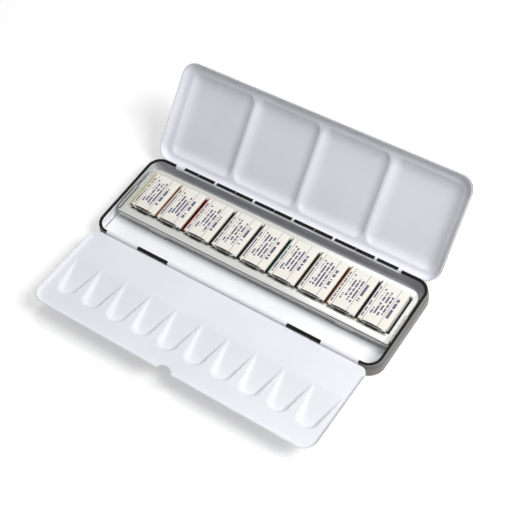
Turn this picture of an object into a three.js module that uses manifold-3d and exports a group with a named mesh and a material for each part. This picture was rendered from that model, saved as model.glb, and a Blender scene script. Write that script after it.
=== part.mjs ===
// Folding metal paint box: a pressed base tray with a rolled rim, a hinged lid with four mixing
// wells, a second palette that folds out over the front rim, and a row of wrapped full pans held
// in a pressed holder beside the brush trough.
//
// Millimetres, +Z up. X runs along the box, Y from the front rim to the lid hinge. The origin is
// the middle of the underside of the base tray. The lid and the front palette stand open.

import * as THREE from 'three';
import { ConvexGeometry } from 'three/addons/geometries/ConvexGeometry.js';
import { mergeVertices } from 'three/addons/utils/BufferGeometryUtils.js';
import Module from 'manifold-3d';

const wasm = await Module();
wasm.setup();

// Stock and clearances
const sheet = 0.6;
const seam = 0.3;
const overrun = 1;
const cornerSteps = 5;
const barrelSteps = 16;

// Base tray
const rimLength = 230;
const rimDepth = 74.4;
const rimHeight = 13.2;
const rimCorner = 10.5;
const beadWidth = 2.2;
const beadRound = 0.7;
const shoulderDrop = 4.8;
const shoulderStep = 0.6;
const footRound = 1.4;

// Hinge stock, the same for both hinges
const pinRadius = 0.5;
const pinPlay = 0.3;
const hingeGap = 0.4;

// Lid hinge
const lidPinInset = 0.4;
const lidHingeShift = -2.1;
const lidHingeMargin = 20;
const knuckleWidth = 15;
const hookWidth = 17.2;
const endHookWidth = 19.6;
const hookStart = 95;
const hookEnd = -135;
const lidOpenAngle = 135;

// Lid
const lidOverhang = 0.6;
const lidCorner = 10.5;
const lidSkirt = 4.7;
const lidEdgeRound = 1.4;
const lidLandRound = 1.6;
const mixingWellCount = 4;
const mixingWellSideLand = 5.6;
const mixingWellRidge = 1.6;
const mixingWellDepth = 2.8;
const mixingWellSlope = 4.6;
const mixingWellCorner = 6.5;
const mixingWellFrontLand = 6.2;
const mixingWellRearLand = 5.2;

// Front palette and its hinge
const flapPinInset = 0.9;
const flapHingeEnd = 2;
const flapKnuckleWidth = 25.4;
const flapKnucklePlace = 61.7;
const flapRestAngle = 3;
const flapCorner = 10;
const flapWall = 2.2;
const flapWallFlare = 1.2;
const flapWallRound = 1.2;
const flapWallStart = 6;
const thumbRadius = 7;
const thumbOutset = 1.9;
const stampShift = 0.8;
const washWellSideLand = 4.9;
const washWellPitch = 21.5;
const washWellRidge = 0.3;
const washWellDepth = 3;
const washWellFront = 21.4;
const washWellRun = 22.6;
const washWellNeck = 15;
const washWellSlope = 2.5;

// Pan holder
const holderEndGap = 1;
const holderDrop = 4.2;
const holderRearGap = 7.2;
const holderFrontMargin = 7.8;
const holderRearMargin = 6.4;
const holderEndMargin = 6;
const holderCorner = 8.5;
const holderFlange = 5.6;
const holderFootWidth = 14.8;
const holderFootPlace = 76.7;
const holderShift = 1.6;
const lipDrop = 3.6;
const lipEndGap = 1;
const earInset = 2.4;
const earLength = 22;
const earRise = 1.3;
const earReach = 2.3;
const earSideGap = 0.7;

// Wrapped full pans
const panWidth = 20.4;
const panGap = 3.3;
const panLength = 30.6;
const panHeight = 11.4;
const labelThickness = 0.2;
const labelGap = 0.2;
const labelMargin = 0.4;
const labelRound = 0.8;
const foilThickness = 0.3;
const cupWall = 0.8;
const cupTaper = 0.7;
const cakeDrop = 1.8;

// Places that follow from the sizes
const boreRadius = pinRadius + pinPlay;
const barrelRadius = boreRadius + sheet;
const axisHeight = rimHeight - beadWidth / 2;
const notchHeight = axisHeight - barrelRadius - seam;
const lidAxisY = rimDepth / 2 - lidPinInset;
const flapAxisY = flapPinInset - rimDepth / 2;
const floorTop = sheet;
const standHeight = floorTop + seam;
const hingePitch = knuckleWidth + hookWidth + 2 * hingeGap;
const endKnuckleLength = knuckleWidth + 2 * (hingeGap + endHookWidth);
const knuckleCount = 1 + Math.floor((rimLength - 2 * lidHingeMargin - endKnuckleLength) / hingePitch);
const lidHingeLength = (knuckleCount - 1) * hingePitch + endKnuckleLength;
const lidLength = rimLength + 2 * lidOverhang;
const lidRim = barrelRadius + seam;
const lidReach = lidAxisY + rimDepth / 2;
const mixingWellPitch = (lidLength - 2 * mixingWellSideLand) / mixingWellCount;
const flapHingeLength = rimLength - 2 * (rimCorner + flapHingeEnd);
const flapLength = rimLength - 2 * (beadWidth + seam);
const flapReach = rimDepth - flapPinInset - beadWidth - seam;
const washWellCount = Math.floor((flapLength - 2 * washWellSideLand) / washWellPitch);
const washWellMouth = washWellPitch - washWellRidge;
const washWellBend = flapReach - washWellFront;
const washWellStart = washWellBend - washWellRun;
const shoulderHeight = rimHeight - shoulderDrop;
const holderLength = rimLength - 2 * (beadWidth + holderEndGap);
const holderTop = rimHeight - holderDrop;
const holderRear = rimDepth / 2 - holderRearGap;
const panPitch = panWidth + panGap;
const panCount = Math.floor((holderLength - 2 * holderEndMargin + panGap) / panPitch);
const panMiddle = holderRear - holderRearMargin - seam - panLength / 2;
const holderFront = panMiddle - panLength / 2 - seam - holderFrontMargin;
const earFront = holderFront + earInset;
const earRear = earFront + earLength;
const lipWidth = panWidth - 2 * lipEndGap;

// Finishes
const blackEnamel = new THREE.MeshStandardMaterial({ color: 0x55554f, roughness: 0.3, metalness: 0.2 });
const whiteEnamel = new THREE.MeshStandardMaterial({ color: 0xe4e5ea, roughness: 0.25, metalness: 0 });
const brightSteel = new THREE.MeshStandardMaterial({ color: 0x8e9094, roughness: 0.35, metalness: 1 });
const whitePlastic = new THREE.MeshStandardMaterial({ color: 0xf0f0ee, roughness: 0.5, metalness: 0 });
const foilMetal = new THREE.MeshStandardMaterial({ color: 0x8a8a88, roughness: 0.3, metalness: 1 });
const creamPaper = new THREE.MeshStandardMaterial({ color: 0xf0ebe1, roughness: 0.8, metalness: 0 });

// The nine paints, from left to right
const cakeColours = [
	0xf2c81c, 0xd9822b, 0xc8281e, 0x5a1f3c, 0x22265e, 0x1f7a5a, 0x6f7d2a, 0x9c4a2a, 0x1c1c1e,
];

// A closed solid for cutting and joining, from any closed three.js geometry
function toSolid( geometry ) {

	geometry.deleteAttribute( 'normal' );
	geometry.deleteAttribute( 'uv' );
	const welded = mergeVertices( geometry );
	return new wasm.Manifold( new wasm.Mesh( {
		numProp: 3,
		vertProperties: new Float32Array( welded.attributes.position.array ),
		triVerts: new Uint32Array( welded.index.array ),
	} ) );

}

function toMesh( name, solid, material ) {

	const { vertProperties, triVerts } = solid.getMesh();
	const geometry = new THREE.BufferGeometry();
	geometry.setAttribute( 'position', new THREE.BufferAttribute( vertProperties, 3 ) );
	geometry.setIndex( new THREE.BufferAttribute( triVerts, 1 ) );
	geometry.computeVertexNormals();
	const mesh = new THREE.Mesh( geometry, material );
	mesh.name = name;
	return mesh;

}

// The corners of a rectangle with round corners, anticlockwise
function roundedRectangle( halfX, halfY, radius ) {

	const points = [];
	for ( let quarter = 0; quarter < 4; quarter ++ ) {

		const sideX = quarter === 0 || quarter === 3 ? 1 : - 1;
		const sideY = quarter < 2 ? 1 : - 1;
		for ( let step = 0; step <= cornerSteps; step ++ ) {

			const angle = ( quarter + step / cornerSteps ) * Math.PI / 2;
			points.push( new THREE.Vector2(
				sideX * ( halfX - radius ) + radius * Math.cos( angle ),
				sideY * ( halfY - radius ) + radius * Math.sin( angle ),
			) );

		}

	}

	return points;

}

// A convex stack of rounded rectangles, one per level [ height, length, depth, corner radius ]
function stack( levels, middleX = 0, middleY = 0 ) {

	const points = levels.flatMap( ( [ z, length, depth, radius ] ) =>
		roundedRectangle( length / 2, depth / 2, radius )
			.map( ( p ) => new THREE.Vector3( p.x + middleX, p.y + middleY, z ) ) );
	return toSolid( new ConvexGeometry( points ) );

}

// A box between two corners
function block( x0, x1, y0, y1, z0, z1 ) {

	const geometry = new THREE.BoxGeometry( x1 - x0, y1 - y0, z1 - z0 );
	geometry.translate( ( x0 + x1 ) / 2, ( y0 + y1 ) / 2, ( z0 + z1 ) / 2 );
	return toSolid( geometry );

}

// A round bar along X
function bar( x0, x1, y, z, radius ) {

	const geometry = new THREE.CylinderGeometry( radius, radius, x1 - x0, barrelSteps );
	geometry.rotateZ( Math.PI / 2 );
	geometry.translate( ( x0 + x1 ) / 2, y, z );
	return toSolid( geometry );

}

// A profile in Y and Z, drawn out along X
function extrudeX( shape, x0, x1 ) {

	const options = { depth: x1 - x0, bevelEnabled: false, curveSegments: barrelSteps };
	const geometry = new THREE.ExtrudeGeometry( shape, options );
	const toYZ = new THREE.Matrix4().makeBasis(
		new THREE.Vector3( 0, 1, 0 ),
		new THREE.Vector3( 0, 0, 1 ),
		new THREE.Vector3( 1, 0, 0 ),
	);
	geometry.applyMatrix4( toYZ );
	geometry.translate( x0, 0, 0 );
	return toSolid( geometry );

}

// Both hinges: where each base knuckle starts and ends along X
function lidKnuckles() {

	const first = lidHingeShift - ( knuckleCount - 1 ) / 2 * hingePitch;
	return Array.from( { length: knuckleCount }, ( _, i ) => {

		const middle = first + i * hingePitch;
		return [ middle - knuckleWidth / 2, middle + knuckleWidth / 2 ];

	} );

}

function flapKnuckles() {

	return [ - flapKnucklePlace, flapKnucklePlace ]
		.map( ( middle ) => [ middle - flapKnuckleWidth / 2, middle + flapKnuckleWidth / 2 ] );

}

// The runs between the knuckles of one hinge, where the swinging leaf is rolled round the pin
function runsBetween( knuckles, start, end ) {

	const starts = [ start, ...knuckles.map( ( k ) => k[ 1 ] + hingeGap ) ];
	const ends = [ ...knuckles.map( ( k ) => k[ 0 ] - hingeGap ), end ];
	return starts.map( ( x0, i ) => [ x0, ends[ i ] ] );

}

// One base knuckle: a tongue of the wall, rolled into a barrel
function baseKnuckle( [ x0, x1 ], axisY, wallSide ) {

	const outerFace = wallSide * rimDepth / 2;
	const innerFace = outerFace - wallSide * sheet;
	const tongue = block( x0, x1, Math.min( outerFace, innerFace ), Math.max( outerFace, innerFace ),
		notchHeight - overrun, axisHeight );
	return tongue
		.add( bar( x0, x1, axisY, axisHeight, barrelRadius ) )
		.subtract( bar( x0 - overrun, x1 + overrun, axisY, axisHeight, boreRadius ) );

}

// The part of a wall and rim bead that a hinge takes away
function hingeNotch( middle, length, wallSide ) {

	const inner = wallSide * ( rimDepth / 2 - beadWidth - overrun );
	const outer = wallSide * ( rimDepth / 2 + shoulderStep + overrun );
	return block( middle - length / 2, middle + length / 2, Math.min( inner, outer ),
		Math.max( inner, outer ), notchHeight, rimHeight + overrun );

}

function trayOutside() {

	const length = rimLength + 2 * shoulderStep;
	const depth = rimDepth + 2 * shoulderStep;
	const corner = rimCorner + shoulderStep;
	const lower = stack( [
		[ 0, length - 2 * footRound, depth - 2 * footRound, corner - footRound ],
		[ footRound / 2, length - footRound / 2, depth - footRound / 2, corner - footRound / 4 ],
		[ footRound, length, depth, corner ],
		[ shoulderHeight - shoulderStep, length, depth, corner ],
		[ shoulderHeight, rimLength, rimDepth, rimCorner ],
	] );
	const upper = stack( [
		[ floorTop, rimLength, rimDepth, rimCorner ],
		[ rimHeight - beadRound, rimLength, rimDepth, rimCorner ],
		[ rimHeight, rimLength - 2 * beadRound, rimDepth - 2 * beadRound, rimCorner - beadRound ],
	] );
	return lower.add( upper );

}

function trayInside() {

	const length = rimLength - 2 * sheet;
	const depth = rimDepth - 2 * sheet;
	const corner = rimCorner - sheet;
	const wide = 2 * shoulderStep;
	const mouth = 2 * beadWidth;
	const lower = stack( [
		[ floorTop, length + wide - 2 * footRound, depth + wide - 2 * footRound, corner - footRound ],
		[ floorTop + footRound, length + wide, depth + wide, corner + shoulderStep ],
		[ shoulderHeight - shoulderStep - sheet, length + wide, depth + wide, corner + shoulderStep ],
		[ shoulderHeight - sheet, length, depth, corner ],
	] );
	const upper = stack( [
		[ floorTop + footRound, length, depth, corner ],
		[ rimHeight - beadWidth, length, depth, corner ],
		[ axisHeight, rimLength - mouth, rimDepth - mouth, rimCorner - beadWidth ],
	] );
	const throat = stack( [
		[ floorTop + footRound, rimLength - mouth, rimDepth - mouth, rimCorner - beadWidth ],
		[ rimHeight - beadRound, rimLength - mouth, rimDepth - mouth, rimCorner - beadWidth ],
		[ rimHeight, rimLength - mouth + 2 * beadRound, rimDepth - mouth + 2 * beadRound,
			rimCorner - beadWidth + beadRound ],
		[ rimHeight + overrun, rimLength - mouth + 2 * beadRound, rimDepth - mouth + 2 * beadRound,
			rimCorner - beadWidth + beadRound ],
	] );
	return lower.add( upper ).add( throat );

}

function baseTray() {

	let tray = trayOutside()
		.subtract( trayInside() )
		.subtract( hingeNotch( lidHingeShift, lidHingeLength + 2 * hingeGap, 1 ) )
		.subtract( hingeNotch( 0, flapHingeLength + 2 * hingeGap, - 1 ) );
	for ( const knuckle of lidKnuckles() ) tray = tray.add( baseKnuckle( knuckle, lidAxisY, 1 ) );
	for ( const knuckle of flapKnuckles() ) tray = tray.add( baseKnuckle( knuckle, flapAxisY, - 1 ) );
	return tray;

}

// Lid, drawn closed with its pin's axis at the origin and its rim level with the top of the hinge

// One hook: the lid's rear wall carried down and rolled round the back of the pin
function lidHook( [ x0, x1 ] ) {

	const from = THREE.MathUtils.degToRad( hookStart );
	const to = THREE.MathUtils.degToRad( hookEnd );
	const ring = new THREE.Shape();
	ring.absarc( 0, 0, barrelRadius, from, to, true );
	ring.absarc( 0, 0, boreRadius, to, from, false );
	const root = block( x0, x1, - sheet / 2, sheet / 2, boreRadius + sheet / 2, lidRim + sheet );
	return extrudeX( ring, x0, x1 ).add( root );

}

// The four pressed mixing wells, or with a thickness the pads that they raise on the outside
function mixingWells( thickness, overlap ) {

	const land = lidRim + lidSkirt;
	const depth = lidReach - mixingWellFrontLand - mixingWellRearLand;
	const middleY = - mixingWellRearLand - depth / 2;
	const mouthX = mixingWellPitch - mixingWellRidge + 2 * thickness;
	const mouthY = depth + 2 * thickness;
	const mouthCorner = mixingWellCorner + thickness;
	const floorX = mouthX - 2 * mixingWellSlope;
	const floorY = mouthY - 2 * mixingWellSlope;
	const floorCorner = mixingWellCorner / 2;
	const first = ( 1 - mixingWellCount ) / 2 * mixingWellPitch + stampShift;
	return Array.from( { length: mixingWellCount }, ( _, i ) => stack( [
		[ land - overlap, mouthX, mouthY, mouthCorner ],
		[ land + thickness / 2, mouthX, mouthY, mouthCorner ],
		[ land + mixingWellDepth + thickness, floorX, floorY, floorCorner ],
	], first + i * mixingWellPitch, middleY ) );

}

function lidPalette() {

	const land = lidRim + lidSkirt;
	const top = land + sheet;
	const depth = lidReach + sheet / 2;
	const middleY = sheet / 2 - depth / 2;
	const round = 2 * lidEdgeRound;
	const landRound = 2 * lidLandRound;
	const inLength = lidLength - 2 * sheet;
	const inDepth = depth - 2 * sheet;
	const inCorner = lidCorner - sheet;
	const shell = stack( [
		[ lidRim, lidLength, depth, lidCorner ],
		[ top - lidEdgeRound, lidLength, depth, lidCorner ],
		[ top, lidLength - round, depth - round, lidCorner - lidEdgeRound ],
	], 0, middleY );
	const hollow = stack( [
		[ lidRim - overrun, inLength, inDepth, inCorner ],
		[ land - lidLandRound, inLength, inDepth, inCorner ],
		[ land, inLength - landRound, inDepth - landRound, inCorner - lidLandRound ],
	], 0, middleY );
	let lid = shell;
	for ( const pad of mixingWells( sheet, 0 ) ) lid = lid.add( pad );
	lid = lid.subtract( hollow );
	for ( const well of mixingWells( 0, overrun ) ) lid = lid.subtract( well );
	const half = lidHingeLength / 2;
	for ( const run of runsBetween( lidKnuckles(), lidHingeShift - half, lidHingeShift + half ) ) {

		lid = lid.add( lidHook( run ) );

	}

	return lid;

}

// Front palette, drawn open and level with its pin's axis at the origin, reaching out along -Y

// The outline of one teardrop well at a given width at its start, its bend and beyond
function washOutline( start, bend, startWidth, bendWidth, startZ, bendZ, middle ) {

	const points = [
		new THREE.Vector3( middle - startWidth / 2, - start, startZ ),
		new THREE.Vector3( middle + startWidth / 2, - start, startZ ),
	];
	for ( let step = 0; step <= 2 * cornerSteps; step ++ ) {

		const angle = step / ( 2 * cornerSteps ) * Math.PI;
		points.push( new THREE.Vector3(
			middle + bendWidth / 2 * Math.cos( angle ),
			- bend - bendWidth / 2 * Math.sin( angle ),
			bendZ,
		) );

	}

	return points;

}

// One wash well, its floor sloping down from nothing to full depth, or the pad below it
function washWell( middle, thickness, overlap ) {

	const sheetTop = sheet - barrelRadius;
	const wide = 2 * thickness;
	const neck = washWellNeck + wide;
	const narrow = neck - 2 * washWellSlope;
	const mouth = washWellMouth + wide;
	const top = sheetTop + overlap - thickness / 2;
	const start = washWellStart;
	return toSolid( new ConvexGeometry( [
		...washOutline( start, washWellBend, mouth, neck, top, top, middle ),
		...washOutline( start, washWellBend, mouth, neck, sheetTop - thickness, sheetTop - thickness, middle ),
		...washOutline( start, washWellBend, mouth, narrow, sheetTop - thickness,
			sheetTop - thickness - washWellDepth, middle ),
	] ) );

}

// The palette's sheet with its turned-up walls on the two ends and along the far edge
function flapPan() {

	const rear = barrelRadius + seam;
	const depth = flapReach - rear;
	const middleY = - rear - depth / 2;
	const bottom = - barrelRadius;
	const top = bottom + sheet + flapWall;
	const flare = 2 * flapWallFlare;
	const round = 2 * flapWallRound;
	const inLength = flapLength - 2 * sheet;
	const inDepth = depth - 2 * sheet;
	const outside = stack( [
		[ bottom, flapLength - flare, depth - flare, flapCorner - flapWallFlare ],
		[ top, flapLength, depth, flapCorner ],
	], 0, middleY );
	const inside = stack( [
		[ bottom + sheet, inLength - flare - round, inDepth - flare - round,
			flapCorner - sheet - flapWallFlare - flapWallRound ],
		[ bottom + sheet + flapWallRound, inLength - flapWallFlare, inDepth - flapWallFlare,
			flapCorner - sheet - flapWallFlare / 2 ],
		[ top, inLength, inDepth, flapCorner - sheet ],
		[ top + overrun, inLength, inDepth, flapCorner - sheet ],
	], 0, middleY );
	const wallFree = block( - flapLength, flapLength, - rear - flapWallStart, overrun,
		bottom + sheet, top + overrun );
	return outside.subtract( inside ).subtract( wallFree );

}

function flapPalette() {

	let flap = flapPan();
	const rear = barrelRadius + seam;
	const half = flapHingeLength / 2;
	for ( const [ x0, x1 ] of runsBetween( flapKnuckles(), - half, half ) ) {

		const tongue = block( x0, x1, - rear - flapWallFlare - sheet, 0, - barrelRadius, sheet - barrelRadius );
		const barrel = bar( x0, x1, 0, 0, barrelRadius );
		flap = flap.add( tongue ).add( barrel );

	}

	flap = flap.subtract( bar( - flapLength, flapLength, 0, 0, boreRadius ) );
	const first = ( 1 - washWellCount ) / 2 * washWellPitch + stampShift;
	const middles = Array.from( { length: washWellCount }, ( _, i ) => first + i * washWellPitch );
	for ( const middle of middles ) flap = flap.add( washWell( middle, sheet, 0 ) );
	for ( const middle of middles ) flap = flap.subtract( washWell( middle, 0, overrun ) );
	const thumbDepth = 2 * ( flapWall + overrun );
	const thumb = new THREE.CylinderGeometry( thumbRadius, thumbRadius, thumbDepth, 2 * barrelSteps );
	thumb.rotateX( Math.PI / 2 );
	thumb.translate( stampShift, - flapReach - thumbOutset, 0 );
	return flap.subtract( toSolid( thumb ) );

}

// Pan holder: a pressed plate with a long opening, sprung lips, flanges, feet and end ears

// The plate's outline, square at the front corners and round at the rear ones
function holderPlate() {

	const half = holderLength / 2;
	const shape = new THREE.Shape();
	shape.moveTo( - half, holderFront );
	shape.lineTo( half, holderFront );
	shape.lineTo( half, holderRear - holderCorner );
	shape.absarc( half - holderCorner, holderRear - holderCorner, holderCorner, 0, Math.PI / 2, false );
	shape.lineTo( holderCorner - half, holderRear );
	shape.absarc( holderCorner - half, holderRear - holderCorner, holderCorner, Math.PI / 2, Math.PI, false );
	shape.closePath();
	const options = { depth: sheet, bevelEnabled: false, curveSegments: cornerSteps };
	const geometry = new THREE.ExtrudeGeometry( shape, options );
	geometry.translate( 0, 0, holderTop - sheet );
	return toSolid( geometry );

}

// A flange hanging from the plate's edge, with two feet that reach the tray's floor
function holderFlangeWithFeet( y0, y1, x0, x1 ) {

	let flange = block( x0, x1, y0, y1, holderTop - holderFlange, holderTop );
	for ( const side of [ - 1, 1 ] ) {

		const middle = holderShift + side * holderFootPlace;
		flange = flange.add( block( middle - holderFootWidth / 2, middle + holderFootWidth / 2, y0, y1,
			standHeight, holderTop ) );

	}

	return flange;

}

// One end ear, bent up out of the plate's end and out again towards the rim bead
function holderEar( side ) {

	const outer = rimLength / 2 - beadWidth - seam;
	const [ x0, x1 ] = [ side * ( outer - earReach ), side * outer ].sort( ( a, b ) => a - b );
	return block( x0, x1, earFront, earRear, holderTop - sheet, holderTop + earRise );

}

// The room under and round the ear, where the plate's end is cut away
function earSlot( side ) {

	const from = rimLength / 2 - beadWidth - seam - earReach + sheet;
	const [ x0, x1 ] = [ side * from, side * ( rimLength / 2 ) ].sort( ( a, b ) => a - b );
	return block( x0, x1, earFront - earSideGap, earRear + earSideGap, holderTop - sheet - overrun,
		holderTop + earRise - sheet );

}

function panMiddles() {

	const first = holderShift - ( panCount - 1 ) / 2 * panPitch;
	return Array.from( { length: panCount }, ( _, i ) => first + i * panPitch );

}

function panHolder() {

	const half = holderLength / 2;
	const lipFront = panMiddle - panLength / 2 - seam;
	const lipRear = panMiddle + panLength / 2 + seam;
	const lipBottom = holderTop - sheet - lipDrop;
	const middles = panMiddles();
	const openStart = middles[ 0 ] - panWidth / 2 - 2 * seam;
	const openEnd = middles[ panCount - 1 ] + panWidth / 2 + 2 * seam;
	let holder = holderPlate()
		.add( holderFlangeWithFeet( holderFront, holderFront + sheet, - half, half ) )
		.add( holderFlangeWithFeet( holderRear - sheet, holderRear, holderCorner - half, half - holderCorner ) );
	for ( const middle of middles ) {

		const [ x0, x1 ] = [ middle - lipWidth / 2, middle + lipWidth / 2 ];
		holder = holder.add( block( x0, x1, lipFront - sheet, lipRear + sheet, lipBottom, holderTop ) );

	}

	const opening = block( openStart, openEnd, lipFront, lipRear, lipBottom - overrun, holderTop + overrun );
	holder = holder.subtract( opening );
	for ( const side of [ - 1, 1 ] ) holder = holder.add( holderEar( side ) ).subtract( earSlot( side ) );
	return holder;

}

// One wrapped pan, drawn with the middle of its underside at the origin

// The printed paper band, open at the pan's two short ends
function panLabel() {

	const length = panLength - 2 * labelMargin;
	const ring = ( inset, grow ) => {

		const outline = roundedRectangle( panWidth / 2 - inset, panHeight / 2 - inset, labelRound - inset );
		const geometry = new THREE.ExtrudeGeometry( new THREE.Shape( outline ),
			{ depth: length + 2 * grow, bevelEnabled: false } );
		geometry.rotateX( Math.PI / 2 );
		geometry.translate( 0, length / 2 + grow, panHeight / 2 );
		return toSolid( geometry );

	};

	return ring( 0, 0 ).subtract( ring( labelThickness, overrun ) );

}

// The foil: over the top and down all four sides, open below
function panFoil() {

	const inset = labelThickness + labelGap;
	const [ halfX, halfY ] = [ panWidth / 2 - inset, panLength / 2 ];
	const outside = block( - halfX, halfX, - halfY, halfY, inset, panHeight - inset );
	const inside = block( foilThickness - halfX, halfX - foilThickness, foilThickness - halfY,
		halfY - foilThickness, inset - overrun, panHeight - inset - foilThickness );
	return outside.subtract( inside );

}

// The room that a wall leaves inside the foil, narrower at the floor than at the rim
function cupStack( wall, bottom, top ) {

	const width = panWidth - 2 * ( labelThickness + labelGap + foilThickness + seam + wall );
	const length = panLength - 2 * ( foilThickness + seam + wall );
	return stack( [
		[ bottom, width - 2 * cupTaper, length - 2 * cupTaper, cupTaper ],
		[ top, width, length, cupTaper ],
	], 0, 0 );

}

function panCup() {

	const bottom = labelThickness + labelGap;
	const top = panHeight - bottom - foilThickness - seam;
	return cupStack( 0, bottom, top ).subtract( cupStack( cupWall, bottom + cupWall, top + overrun ) );

}

function panCake() {

	const bottom = labelThickness + labelGap + cupWall + seam;
	const top = panHeight - labelThickness - labelGap - foilThickness - seam - cakeDrop;
	return cupStack( cupWall + seam, bottom, top );

}

function pinAlong( name, middle, length ) {

	return toMesh( name, bar( middle - length / 2, middle + length / 2, 0, 0, pinRadius ), brightSteel );

}

// The assembly
const box = new THREE.Group();
box.add( toMesh( 'base_tray', baseTray(), blackEnamel ) );
box.add( toMesh( 'pan_holder', panHolder(), whiteEnamel ) );

const lidSide = new THREE.Group();
lidSide.position.set( 0, lidAxisY, axisHeight );
lidSide.rotation.x = - THREE.MathUtils.degToRad( lidOpenAngle );
lidSide.add( toMesh( 'lid_palette', lidPalette(), whiteEnamel ) );
lidSide.add( pinAlong( 'lid_hinge_pin', lidHingeShift, lidHingeLength ) );
box.add( lidSide );

const flapSide = new THREE.Group();
flapSide.position.set( 0, flapAxisY, axisHeight );
flapSide.rotation.x = - THREE.MathUtils.degToRad( flapRestAngle );
flapSide.add( toMesh( 'flap_palette', flapPalette(), whiteEnamel ) );
flapSide.add( pinAlong( 'flap_hinge_pin', 0, flapHingeLength ) );
box.add( flapSide );

panMiddles().forEach( ( middle, i ) => {

	const number = i + 1;
	const pan = new THREE.Group();
	pan.position.set( middle, panMiddle, standHeight );
	const color = cakeColours[ i % cakeColours.length ];
	const cakePaint = new THREE.MeshStandardMaterial( { color, roughness: 0.7, metalness: 0 } );
	pan.add( toMesh( `pan_${ number }_cup`, panCup(), whitePlastic ) );
	pan.add( toMesh( `pan_${ number }_cake`, panCake(), cakePaint ) );
	pan.add( toMesh( `pan_${ number }_foil`, panFoil(), foilMetal ) );
	pan.add( toMesh( `pan_${ number }_label`, panLabel(), creamPaper ) );
	box.add( pan );

} );

export default box;
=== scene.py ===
"""Folding metal watercolour box with its lid and front palette open, for Blender 4.5.

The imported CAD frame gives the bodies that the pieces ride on. Sizes are in metres, with +Z up,
X along the box and Y from the front palette to the lid hinge.
"""

import math

import bmesh
import bpy
from bpy.props import (FloatProperty, FloatVectorProperty, IntProperty, PointerProperty)
from mathutils import Matrix, Vector


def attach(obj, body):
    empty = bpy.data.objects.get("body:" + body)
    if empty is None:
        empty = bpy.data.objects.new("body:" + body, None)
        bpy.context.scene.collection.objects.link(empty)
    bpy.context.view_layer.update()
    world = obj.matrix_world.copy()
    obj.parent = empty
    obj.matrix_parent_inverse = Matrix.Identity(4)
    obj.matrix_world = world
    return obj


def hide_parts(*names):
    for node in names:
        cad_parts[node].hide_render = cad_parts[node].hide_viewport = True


bl_info = {
    "name": "Watercolour Box",
    "version": (1, 0, 0),
    "blender": (4, 5, 0),
    "location": "View3D > Sidebar > Paint Box",
    "description": "Builds an open metal watercolour box with wrapped pans",
    "category": "Add Mesh",
}

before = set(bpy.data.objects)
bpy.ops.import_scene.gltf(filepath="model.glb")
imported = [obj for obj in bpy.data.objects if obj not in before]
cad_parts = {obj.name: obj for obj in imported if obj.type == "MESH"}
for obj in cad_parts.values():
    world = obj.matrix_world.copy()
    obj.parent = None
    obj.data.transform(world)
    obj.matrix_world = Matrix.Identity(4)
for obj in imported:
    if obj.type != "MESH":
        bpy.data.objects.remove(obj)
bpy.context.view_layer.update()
MM = 0.001
# Width of the narrow grid cells that make a sharp step
SPLIT = 0.02 * MM
# Vertices nearer than this are one
SEAM = 0.01 * MM
TURN = 2 * math.pi
# Material number that marks the faces of a barrel while it is joined to its piece
NEW_FACE = 31
# Share of an outward direction from which an edge counts as straight
STRAIGHT = 0.99
BARREL_STEPS = 28
HOOK_STEPS = 26
LIP_STEPS = 6


def length(name, description, millimetres):
    """A length that a user may change, kept in metres."""
    return FloatProperty(
        name=name, description=description, default=millimetres * MM, precision=5, unit="LENGTH",
    )


def angle(name, description, degrees):
    """An angle that a user may change."""
    return FloatProperty(
        name=name, description=description, default=math.radians(degrees), subtype="ANGLE",
    )


def count(name, description, number):
    """How many of a piece there are."""
    return IntProperty(name=name, description=description, default=number, min=1)


def tint(name, description, red, green, blue):
    """A surface colour that a user may change."""
    return FloatVectorProperty(
        name=name,
        description=description,
        default=(red, green, blue),
        min=0,
        max=1,
        size=3,
        subtype="COLOR",
    )


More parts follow.
